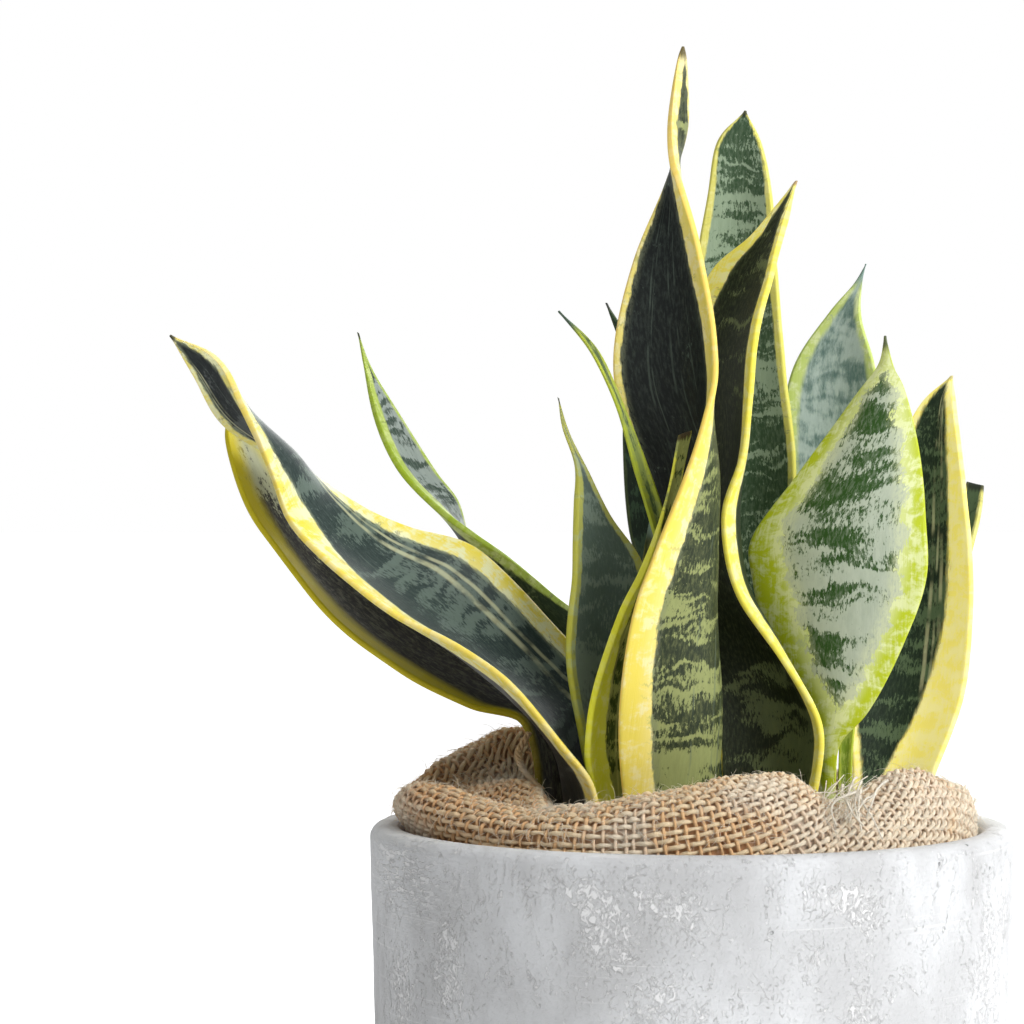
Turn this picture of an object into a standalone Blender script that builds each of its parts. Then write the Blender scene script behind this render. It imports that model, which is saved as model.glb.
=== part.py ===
"""A potted snake plant: a concrete pot filled with soil, hessian cloth tucked round the plant, and sixteen leaves.

Metres, +Z up. The origin is the centre of the pot's underside. -Y is the front. Leaf and cloth tables are in
millimetres; leaf heights start at the soil's surface, and cloth heights at the pot's rim.
"""
import bmesh
import bpy
import numpy as np
from mathutils import Vector

MM = 0.001

# Pot: a turned shell, a little narrower at the foot.
POT_HEIGHT = 0.140
POT_RIM_RADIUS = 0.075
POT_FOOT_RADIUS = 0.0715
POT_WALL = 0.008
POT_FLOOR = 0.010
RIM_ROUNDING = 0.0032
FOOT_ROUNDING = 0.0015
ROUNDING_STEPS = 4
POT_STEPS = 48

# Soil: fills the pot to a little below its rim.
SOIL_BELOW_RIM = 0.006
GAP = 0.0003

# Plant: the leaves' height against the table below, and how thick they are. The leaf and cloth tables are
# drawn for an opening of this radius, and spread with the pot's own.
DRAWN_OPENING = 0.06685
LEAF_HEIGHT_SCALE = 1.0
LEAF_MIDRIB = 0.0024
LEAF_MARGIN = 0.0014
LEAF_TIP = 0.0005
SLIM_LEAF = 0.007
FOLD_SHARPNESS = 1.7
STEPS_PER_ROW = 2.2
SECTION_STEPS = 6

# Cloth: a ring of gathered hessian between the leaves and the pot's wall. Its inner side stands upright over a
# share of its height, and its outer side bulges over a share of the way from its crest to the wall.
CLOTH_UPRIGHT = 0.45
CLOTH_SHOULDER = 0.72
CLOTH_STEPS = 48

# Each leaf, from its root to its tip: left edge x, y, z, right edge x, y, z, and how far each half folds out
# of the flat, in degrees. With the hollow side towards the front, the left edge is at the left.
LEAVES = {
    "tall_front_leaf": (
        (0, -9, -10, -12, -29, -10, 55),
        (2, -7, 14, -17, -33, 15, 54),
        (1, -5, 34, -18, -36, 34, 56),
        (-6, -4, 56, -15, -38, 56, 60),
        (-8, -6, 71, -10, -38, 70, 60),
        (-12, -8, 87, -2, -37, 90, 55),
        (-18.5, -13, 111, 4, -31, 111, 42),
        (-14, -17, 136, 0.5, -27, 137, 34),
        (-7, -18, 152, -4, -25, 153, 25),
        (-4.5, -17, 158, -5.5, -24, 158, 10),
        (-2, -19, 167, -6, -23, 167, -10),
        (-2, -20, 177, -5, -22, 177, -8),
        (-3, -21, 184, -3, -21, 184, 0),
    ),
    "nested_front_leaf": (
        (-20, -24, -8, -12, -20, -8, 40),
        (-23, -26, 14, -11, -20, 14, 45),
        (-25, -28, 25, -10, -22, 26, 48),
        (-22, -29, 42, -9, -23, 44, 48),
        (-17, -29, 56, -8, -25, 57, 45),
        (-12, -28, 66, -6, -25, 68, 40),
        (-7, -26, 81, -4, -25, 82, 30),
        (-4, -26, 96, -1, -25, 97, 20),
    ),
    "short_left_leaf": (
        (-22, -13, -8, -14, -6, -8, 22),
        (-23, -16, 14, -12, -4, 13, 25),
        (-26, -18, 27, -10, -2, 27, 26),
        (-29, -17, 46, -9, -1, 46, 28),
        (-27.5, -14, 64, -11, -2, 66, 28),
        (-27, -12, 78, -19, -6, 78, 25),
        (-27, -9, 89, -24, -8, 88, 20),
        (-30, -8, 98, -28.5, -8, 97, 15),
        (-31, -8, 105, -31, -8, 105, 0),
    ),
    "sweeping_left_leaf": (
        (-24, -28, -10, -21, 0, -10, 34),
        (-23, -34, 15, -19, 3, 16, 36),
        (-31, -34, 27, -17, 6, 36, 34),
        (-43, -33, 41, -22, 7, 41, 32),
        (-53, -31, 48, -31, 8, 51, 32),
        (-69, -28, 56, -50, 6, 70, 32),
        (-82, -26, 66, -66, 3, 75, 24),
        (-92, -23, 76, -79, -5, 81, 0),
        (-97, -20, 88, -94, -2, 90, -36),
        (-103, -18, 102, -108, -7, 98, -36),
        (-109.5, -17, 114, -115, -14, 110, -14),
        (-120, -16, 119, -120, -16, 119, 0),
    ),
    "low_left_leaf": (
        (-34, 2, -8, -28, 8, -8, 32),
        (-39, 3, 29, -30, 10, 29, 32),
        (-52, 2, 33, -40, 17, 41, 26),
        (-69, 0, 42, -55, 18, 51, 24),
        (-83.5, -2, 53.5, -70, 16, 62, 24),
        (-96, -2, 69, -86, 12, 73, 24),
        (-103, -2, 79, -96, 8, 83, 22),
        (-107, -1, 89, -103, 4, 92, 18),
        (-109, 1, 100, -109, 1, 100, 0),
    ),
    "back_left_leaf": (
        (-13, 15, -8, -21, 12, -8, 32),
        (-10, 20, 20, -25, 17, 18, 35),
        (-20, 20, 48, -30, 25, 35, 35),
        (-32, 20, 59, -41, 27, 47, 32),
        (-43, 20, 68, -49, 29, 63, 28),
        (-51, 18, 73, -53, 30, 73, 22),
        (-59, 19, 79, -55, 30, 81, 22),
        (-69, 21, 89, -60, 29, 88, 22),
        (-75, 23, 103, -69.5, 27, 103, 20),
        (-77.5, 25, 114, -75.5, 26, 113, 15),
        (-79, 25, 122, -79, 25, 122, 0),
    ),
    "rear_middle_leaf": (
        (-9, 13, -8, -2, 11, -8, 25),
        (-8, 16, 53, 2, 14, 53, 28),
        (-13.5, 20, 74, 1, 16, 74, 28),
        (-15, 22, 96, -1, 18, 96, 25),
        (-14.5, 22, 113, -9, 20, 113, 20),
        (-19, 22, 129, -19, 22, 129, 0),
    ),
    "thin_arching_leaf": (
        (-9, -13, -8, -5, -12, -8, 35),
        (-8, -14, 30, -3, -13, 30, 35),
        (-6, -15, 61, -2, -14, 62, 35),
        (-10, -16, 76, -6, -15, 76, 35),
        (-14, -19, 89, -11, -18, 90, 35),
        (-18, -18, 103, -16.5, -17, 104, 30),
        (-23, -16, 114, -21.5, -15, 115, 25),
        (-31, -9, 125, -31, -9, 125, 0),
    ),
    "young_shoot": (
        (-9, 4, -8, -5, 3, -8, 25),
        (-12, 6, 58, -9, 5, 58, 30),
        (-11, 6, 67, -8, 5, 67, 25),
        (-9, 6, 78, -9, 6, 78, 0),
    ),
    "twisted_right_leaf": (
        (8, -6, -10, 21, -17, -10, 45),
        (7, -5, 18, 28, -21, 19, 45),
        (6, -3, 33, 28, -21, 31, 45),
        (5, 2, 46, 20, -18, 45, 45),
        (3, 8, 61, 10, -13, 60, 42),
        (1, 11, 76, 7, -11, 76, 45),
        (3, 10, 97, 12, -14, 95, 24),
        (0, 6, 119, 14, -16, 117, 22),
        (5, 0, 135, 18, -14, 134, 32),
        (14, -6, 143, 21, -12, 144, 22),
        (24, -10, 155, 24, -10, 155, 0),
    ),
    "tall_back_leaf": (
        (2, 22, -8, 12, 22, -8, 32),
        (4, 26, 30, 24, 23, 30, 35),
        (5, 29, 57, 26, 25, 57, 32),
        (4, 30, 86, 27, 25, 89, 30),
        (3, 30, 111, 24.5, 25, 112, 28),
        (3, 30, 137, 22.5, 25, 137, 26),
        (6, 29, 156, 21, 25, 156, 24),
        (8, 28, 168, 19, 26, 167, 20),
        (15, 27, 176, 15, 27, 176, 0),
    ),
    "broad_front_leaf": (
        (28, -8, -8, 34, -10, -8, -30),
        (30, -8, 18, 33, -11, 18, -30),
        (29, -7, 24, 34, -11, 25, -28),
        (27, -5, 31, 40, -12, 32, -25),
        (19, 1, 46, 48, -12, 47, -20),
        (14.5, 3, 64, 54, -11, 64, -18),
        (14.5, 3, 72, 54, -9, 77, -18),
        (26, 1, 88, 53, -6, 92, -18),
        (38, 2, 104, 50, -2, 107, -15),
        (44, 3, 112, 48, 1, 112, -12),
        (46, 3, 120, 46, 3, 120, 0),
    ),
    "right_leaf": (
        (37, 3, -8, 48, -2, -8, 28),
        (39, 9, 17, 57, 0, 17, 28),
        (38, 13, 34, 64, 3, 34, 28),
        (41, 17, 57, 67, 6, 58, 28),
        (47, 18, 84, 65.5, 8, 84, 26),
        (55, 15, 103, 63.5, 10, 103, 20),
        (63, 12, 111, 63, 12, 111, 0),
    ),
    "right_shoot": (
        (34, -2, -8, 38, -3, -8, 22),
        (34.5, -2, 20, 37.5, -3, 20, 25),
        (36, 3, 44, 40, 2, 44, 25),
        (39, 6, 64, 39, 6, 64, 0),
    ),
    "small_right_leaf": (
        (42, 15, -8, 50, 13, -8, 20),
        (53, 25, 33, 62, 21, 33, 22),
        (62, 28, 62, 68, 25, 63, 20),
        (67, 29, 78, 72, 27, 78, 18),
        (69, 29, 86, 73, 28, 85, 15),
    ),
    "back_right_leaf": (
        (18, 28, -8, 27, 28, -8, 25),
        (18, 36, 30, 36, 33, 30, 28),
        (28, 42, 57, 49, 36, 57, 28),
        (25, 44, 89, 51, 38, 89, 25),
        (28, 44, 114, 48, 40, 114, 22),
        (37, 43, 128, 44.5, 41, 127, 18),
        (43, 42, 135, 45, 42, 135, 12),
        (46, 42, 140, 46, 42, 140, 0),
    ),
}

# The cloth, going round from the right: angle in degrees, radius of its opening, radius of its crest, and the
# crest's height above the pot's rim.
CLOTH = (
    (0, 60, 63.5, 6),
    (30, 60, 63.5, 7),
    (60, 49, 57, 9),
    (90, 44, 55, 10),
    (130, 40, 53, 13),
    (155, 42, 50, 14),
    (176, 41, 46, 20),
    (190, 43, 53, 16),
    (203, 45, 59, 14),
    (216, 46, 58, 11),
    (236, 48, 58, 8),
    (262, 44, 54, 13),
    (288, 42, 54, 16.5),
    (304, 44, 56, 9),
    (318, 50, 58, 17),
    (342, 57, 62, 10),
)

LEAF_GREEN = (0.035, 0.075, 0.045)
LEAF_LIME = (0.20, 0.30, 0.09)
CONCRETE = (0.62, 0.64, 0.66)
HESSIAN = (0.52, 0.38, 0.24)
EARTH = (0.035, 0.024, 0.017)

SOIL_TOP = POT_HEIGHT - SOIL_BELOW_RIM


def material(name, colour, roughness):
    """A plain Principled material."""
    made = bpy.data.materials.new(name)
    made.use_nodes = True
    shader = made.node_tree.nodes["Principled BSDF"]
    shader.inputs["Base Color"].default_value = (*colour, 1)
    shader.inputs["Roughness"].default_value = roughness
    return made


def add_object(name, mesh, collection, finish):
    """A new object of this mesh, shaded smooth up to 40 degrees."""
    made = bpy.data.objects.new(name, mesh)
    collection.objects.link(made)
    mesh.materials.append(finish)
    mesh.shade_smooth()
    mesh.set_sharp_from_angle(angle=np.radians(40))
    return made


def through(rows, steps, closed=False):
    """Points on a smooth curve through the rows, which may hold any numbers. The ends stay as given."""
    rows = np.array(rows, float)
    knots = np.vstack([rows, rows[:1]]) if closed else rows
    lengths = np.maximum(np.linalg.norm(np.diff(knots, axis=0), axis=1), 1e-9) ** 0.5
    at = np.concatenate([[0], np.cumsum(lengths)])
    slopes = np.diff(knots, axis=0) / lengths[:, None]
    tangents = np.empty_like(knots)
    blend = lengths[:-1, None] / (lengths[:-1] + lengths[1:])[:, None]
    tangents[1:-1] = slopes[:-1] * (1 - blend) + slopes[1:] * blend
    if closed:
        share = lengths[-1] / (lengths[-1] + lengths[0])
        tangents[0] = tangents[-1] = slopes[-1] * (1 - share) + slopes[0] * share
    else:
        tangents[0] = slopes[0]
        tangents[-1] = slopes[-1]
    where = np.linspace(0, at[-1], steps + 1)
    index = np.clip(np.searchsorted(at, where, side="right") - 1, 0, len(lengths) - 1)
    width = lengths[index][:, None]
    t = (where - at[index])[:, None] / width
    curve = (
        (2 * t**3 - 3 * t**2 + 1) * knots[index]
        + (t**3 - 2 * t**2 + t) * width * tangents[index]
        + (3 * t**2 - 2 * t**3) * knots[index + 1]
        + (t**3 - t**2) * width * tangents[index + 1]
    )
    return curve[:-1] if closed else curve


def spread():
    """How much wider the pot's opening is at the soil than the one that the tables are drawn for."""
    return inner_radius(SOIL_TOP) / DRAWN_OPENING


def unit(vectors):
    return vectors / np.maximum(np.linalg.norm(vectors, axis=-1, keepdims=True), 1e-12)


def folded_section(fold, steps):
    """Half of a leaf's section for each fold angle: places along the chord and out of it, and the slope there."""
    fine = np.linspace(-1, 1, 8 * steps + 1)
    slope = -np.radians(fold)[:, None] * np.tanh(FOLD_SHARPNESS * fine) / np.tanh(FOLD_SHARPNESS)
    middle = (slope[:, 1:] + slope[:, :-1]) / 2
    start = np.zeros((len(slope), 1))
    along = np.concatenate([start, np.cumsum(np.cos(middle), axis=1)], axis=1)
    out = np.concatenate([start, np.cumsum(np.sin(middle), axis=1)], axis=1)
    width = along[:, -1:]
    pick = np.linspace(0, 8 * steps, steps + 1).astype(int)
    return (along / width - 0.5)[:, pick], (out / width)[:, pick], slope[:, pick], fine[pick]


def leaf_surfaces(rows, grow=0.0):
    """The leaf's two faces, each a grid of points from root to tip and from the left edge to the right."""
    scale = np.array([spread(), spread(), LEAF_HEIGHT_SCALE] * 2) * MM
    table = np.array(rows, float)
    table[:, :6] *= scale
    table[:, [2, 5]] += SOIL_TOP
    table[:, 6] *= MM
    curve = through(table, int(STEPS_PER_ROW * (len(rows) - 1)) + 4)
    fold = curve[:, 6] / MM
    left, right = curve[:, :3], curve[:, 3:6]
    middle, chord = (left + right) / 2, right - left
    width = np.linalg.norm(chord, axis=1)
    across = unit(chord)
    if width[-1] < LEAF_TIP:
        across[-1] = across[-2]
        width[-1] = LEAF_TIP
    along = unit(np.gradient(middle, axis=0))
    bulge = unit(np.cross(along, across))
    x, y, slope, place = folded_section(fold, SECTION_STEPS)
    spine = middle[:, None]
    sheet = spine + (x * width[:, None])[..., None] * across[:, None]
    sheet = sheet + (y * width[:, None])[..., None] * bulge[:, None]
    facing = np.sin(slope)[..., None] * across[:, None] - np.cos(slope)[..., None] * bulge[:, None]
    body = LEAF_MARGIN + (LEAF_MIDRIB - LEAF_MARGIN) * (1 - place**2)
    slim = np.clip(width / SLIM_LEAF, LEAF_TIP / LEAF_MARGIN, 1)
    half = (slim[:, None] * body / 2 + grow)[..., None]
    if grow:
        sheet[:, 0] += unit(sheet[:, 0] - sheet[:, 1]) * grow
        sheet[:, -1] += unit(sheet[:, -1] - sheet[:, -2]) * grow
        sheet[0] -= along[0] * grow
    return sheet + facing * half, sheet - facing * half


def leaf_mesh(name, rows, grow=0.0):
    """A closed loft of the leaf's sections, capped at both ends."""
    inner, outer = leaf_surfaces(rows, grow)
    loops = np.concatenate([inner, outer[:, ::-1]], axis=1)
    return loft(name, loops)


def loft(name, loops, closed=False):
    """Skins the loops, each to the next, and caps the first and last unless they close on each other."""
    shape = bmesh.new()
    rings = [[shape.verts.new(Vector(point)) for point in ring] for ring in loops]
    pairs = list(zip(rings, rings[1:] + rings[:1] if closed else rings[1:]))
    for ring, following in pairs:
        for i in range(len(ring)):
            j = (i + 1) % len(ring)
            shape.faces.new((ring[i], ring[j], following[j], following[i]))
    if not closed:
        half = len(rings[0]) // 2
        for ring in (rings[0], rings[-1]):
            for i in range(half - 1):
                shape.faces.new((ring[i], ring[i + 1], ring[-i - 2], ring[-i - 1]))
    bmesh.ops.recalc_face_normals(shape, faces=shape.faces)
    mesh = bpy.data.meshes.new(name)
    shape.to_mesh(mesh)
    shape.free()
    return mesh


def turned(name, profile, collection, finish, steps=POT_STEPS):
    """A solid turned about Z from an open profile that starts and ends on the axis."""
    mesh = bpy.data.meshes.new(name)
    points = [(radius, 0, height) for radius, height in profile]
    mesh.from_pydata(points, [(i, i + 1) for i in range(len(points) - 1)], [])
    made = add_object(name, mesh, collection, finish)
    screw = made.modifiers.new("Turn", "SCREW")
    screw.steps = screw.render_steps = steps
    screw.use_merge_vertices = True
    screw.merge_threshold = 0.00001
    screw.use_smooth_shade = True
    return made


def arc(centre, radius, start, end):
    """Points on a quarter round, by angle in degrees."""
    angles = np.radians(np.linspace(start, end, ROUNDING_STEPS + 1))
    return [(centre[0] + radius * np.cos(a), centre[1] + radius * np.sin(a)) for a in angles]


def outer_radius(height):
    return POT_FOOT_RADIUS + (POT_RIM_RADIUS - POT_FOOT_RADIUS) * height / POT_HEIGHT


def inner_radius(height):
    return outer_radius(height) - POT_WALL


def pot_profile():
    """From the middle of the floor up the inside, over the rim and down the outside to the foot."""
    lip = min(RIM_ROUNDING, POT_WALL / 2 - GAP)
    rim = POT_HEIGHT - lip
    profile = [(0, POT_FLOOR), (inner_radius(POT_FLOOR), POT_FLOOR)]
    profile += arc((inner_radius(rim) + lip, rim), lip, 180, 90)
    profile += arc((outer_radius(rim) - lip, rim), lip, 90, 0)
    profile.append((outer_radius(POT_HEIGHT / 2), POT_HEIGHT / 2))
    profile += arc((POT_FOOT_RADIUS - FOOT_ROUNDING, FOOT_ROUNDING), FOOT_ROUNDING, 0, -90)
    return profile + [(0, 0)]


def soil_profile():
    """Loose earth from the pot's floor to a little below its rim, slightly heaped in the middle."""
    low = POT_FLOOR + GAP
    side_top = SOIL_TOP - GAP
    return [
        (0, SOIL_TOP),
        (inner_radius(side_top) * 0.6, SOIL_TOP),
        (inner_radius(side_top) - GAP, side_top),
        (inner_radius(low) - GAP, low),
        (0, low),
    ]


def cloth_loops():
    """The cloth's section at each angle, from its opening over the crest to the pot's wall."""
    table = np.array(CLOTH, float)
    stations = np.radians(table[:, 0])
    sizes = table[:, 1:] * [spread() * MM, spread() * MM, MM]
    rows = np.column_stack([np.cos(stations), np.sin(stations), sizes / DRAWN_OPENING])
    rows = through(rows, CLOTH_STEPS, closed=True)
    angles = np.arctan2(rows[:, 1], rows[:, 0])
    base = SOIL_TOP + GAP
    wall = inner_radius(SOIL_TOP) - GAP
    loops = []
    for angle, (opening, crest, height) in zip(angles, rows[:, 2:] * DRAWN_OPENING):
        top = POT_HEIGHT + height
        low = base + CLOTH_UPRIGHT * (top - base)
        brow = base + (1 - CLOTH_UPRIGHT * CLOTH_UPRIGHT) * (top - base)
        outside = crest + CLOTH_SHOULDER * (wall - crest)
        section = (
            (opening, base),
            (opening, low),
            (opening + (crest - opening) / 2, brow),
            (crest, top),
            (outside, brow),
            (wall, POT_HEIGHT - RIM_ROUNDING),
            (wall, base),
            (crest, base),
        )
        loops.append([(r * np.cos(angle), r * np.sin(angle), z) for r, z in section])
    return loops


def clear_scene():
    for old in list(bpy.data.objects):
        bpy.data.objects.remove(old, do_unlink=True)


def new_collection(name):
    made = bpy.data.collections.new(name)
    bpy.context.scene.collection.children.link(made)
    return made


def cut(target, cutter):
    """Cuts the cutter's shape out of the target and hides the cutter."""
    cutter.hide_render = True
    cutter.display_type = "WIRE"
    boolean = target.modifiers.new("Cut " + cutter.name, "BOOLEAN")
    boolean.operation = "DIFFERENCE"
    boolean.solver = "EXACT"
    boolean.object = cutter


def main():
    clear_scene()
    plant = new_collection("Potted snake plant")
    cutters = new_collection("Cutters")
    turned("concrete_pot", pot_profile(), plant, material("concrete", CONCRETE, 0.85))
    earth = material("soil", EARTH, 0.95)
    soil = turned("soil", soil_profile(), plant, earth)
    green = material("leaf_dark", LEAF_GREEN, 0.35)
    lime = material("leaf_light", LEAF_LIME, 0.4)
    for name, rows in LEAVES.items():
        light = name == "broad_front_leaf"
        add_object(name, leaf_mesh(name, rows), plant, lime if light else green)
        socket = add_object("socket_" + name, leaf_mesh("socket_" + name, rows, GAP), cutters, earth)
        cut(soil, socket)
    hessian = material("hessian", HESSIAN, 0.95)
    add_object("hessian_wrap", loft("hessian_wrap", cloth_loops(), closed=True), plant, hessian)


main()
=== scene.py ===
"""The looks of a potted snake plant: a cast concrete pot, soil, hessian woven thread by thread, and leaves.

Metres, +Z up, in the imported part's own frame: the origin is the centre of the pot's underside and -Y is the
front. It is laid out as an add-on and runs as a script: main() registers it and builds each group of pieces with
its operator.
"""

import math

import bpy
import numpy as np
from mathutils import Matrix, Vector, noise


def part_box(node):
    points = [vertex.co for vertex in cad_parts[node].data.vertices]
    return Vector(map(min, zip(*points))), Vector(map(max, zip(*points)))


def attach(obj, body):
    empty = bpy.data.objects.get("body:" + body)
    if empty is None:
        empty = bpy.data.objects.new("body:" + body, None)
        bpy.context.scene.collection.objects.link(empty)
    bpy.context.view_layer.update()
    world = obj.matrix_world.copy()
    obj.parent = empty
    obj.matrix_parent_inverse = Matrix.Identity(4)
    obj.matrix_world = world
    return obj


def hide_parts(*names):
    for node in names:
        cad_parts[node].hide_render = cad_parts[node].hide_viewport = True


bl_info = {
    "name": "Potted snake plant",
    "version": (1, 0, 0),
    "blender": (4, 5, 0),
    "location": "View3D > Sidebar > Snake plant",
    "description": "Builds a potted snake plant: pot, soil, woven hessian and variegated leaves",
    "category": "Add Mesh",
}

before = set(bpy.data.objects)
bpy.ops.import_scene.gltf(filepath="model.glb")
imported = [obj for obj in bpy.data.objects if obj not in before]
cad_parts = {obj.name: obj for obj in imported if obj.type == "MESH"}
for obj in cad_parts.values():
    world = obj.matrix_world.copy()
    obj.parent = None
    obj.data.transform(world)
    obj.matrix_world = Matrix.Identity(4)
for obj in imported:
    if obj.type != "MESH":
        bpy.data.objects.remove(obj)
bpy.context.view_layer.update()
POT_RADIUS, _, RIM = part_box("concrete_pot")[1]
SOIL_RADIUS, _, SOIL_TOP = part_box("soil")[1]
MM = 0.001

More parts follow.
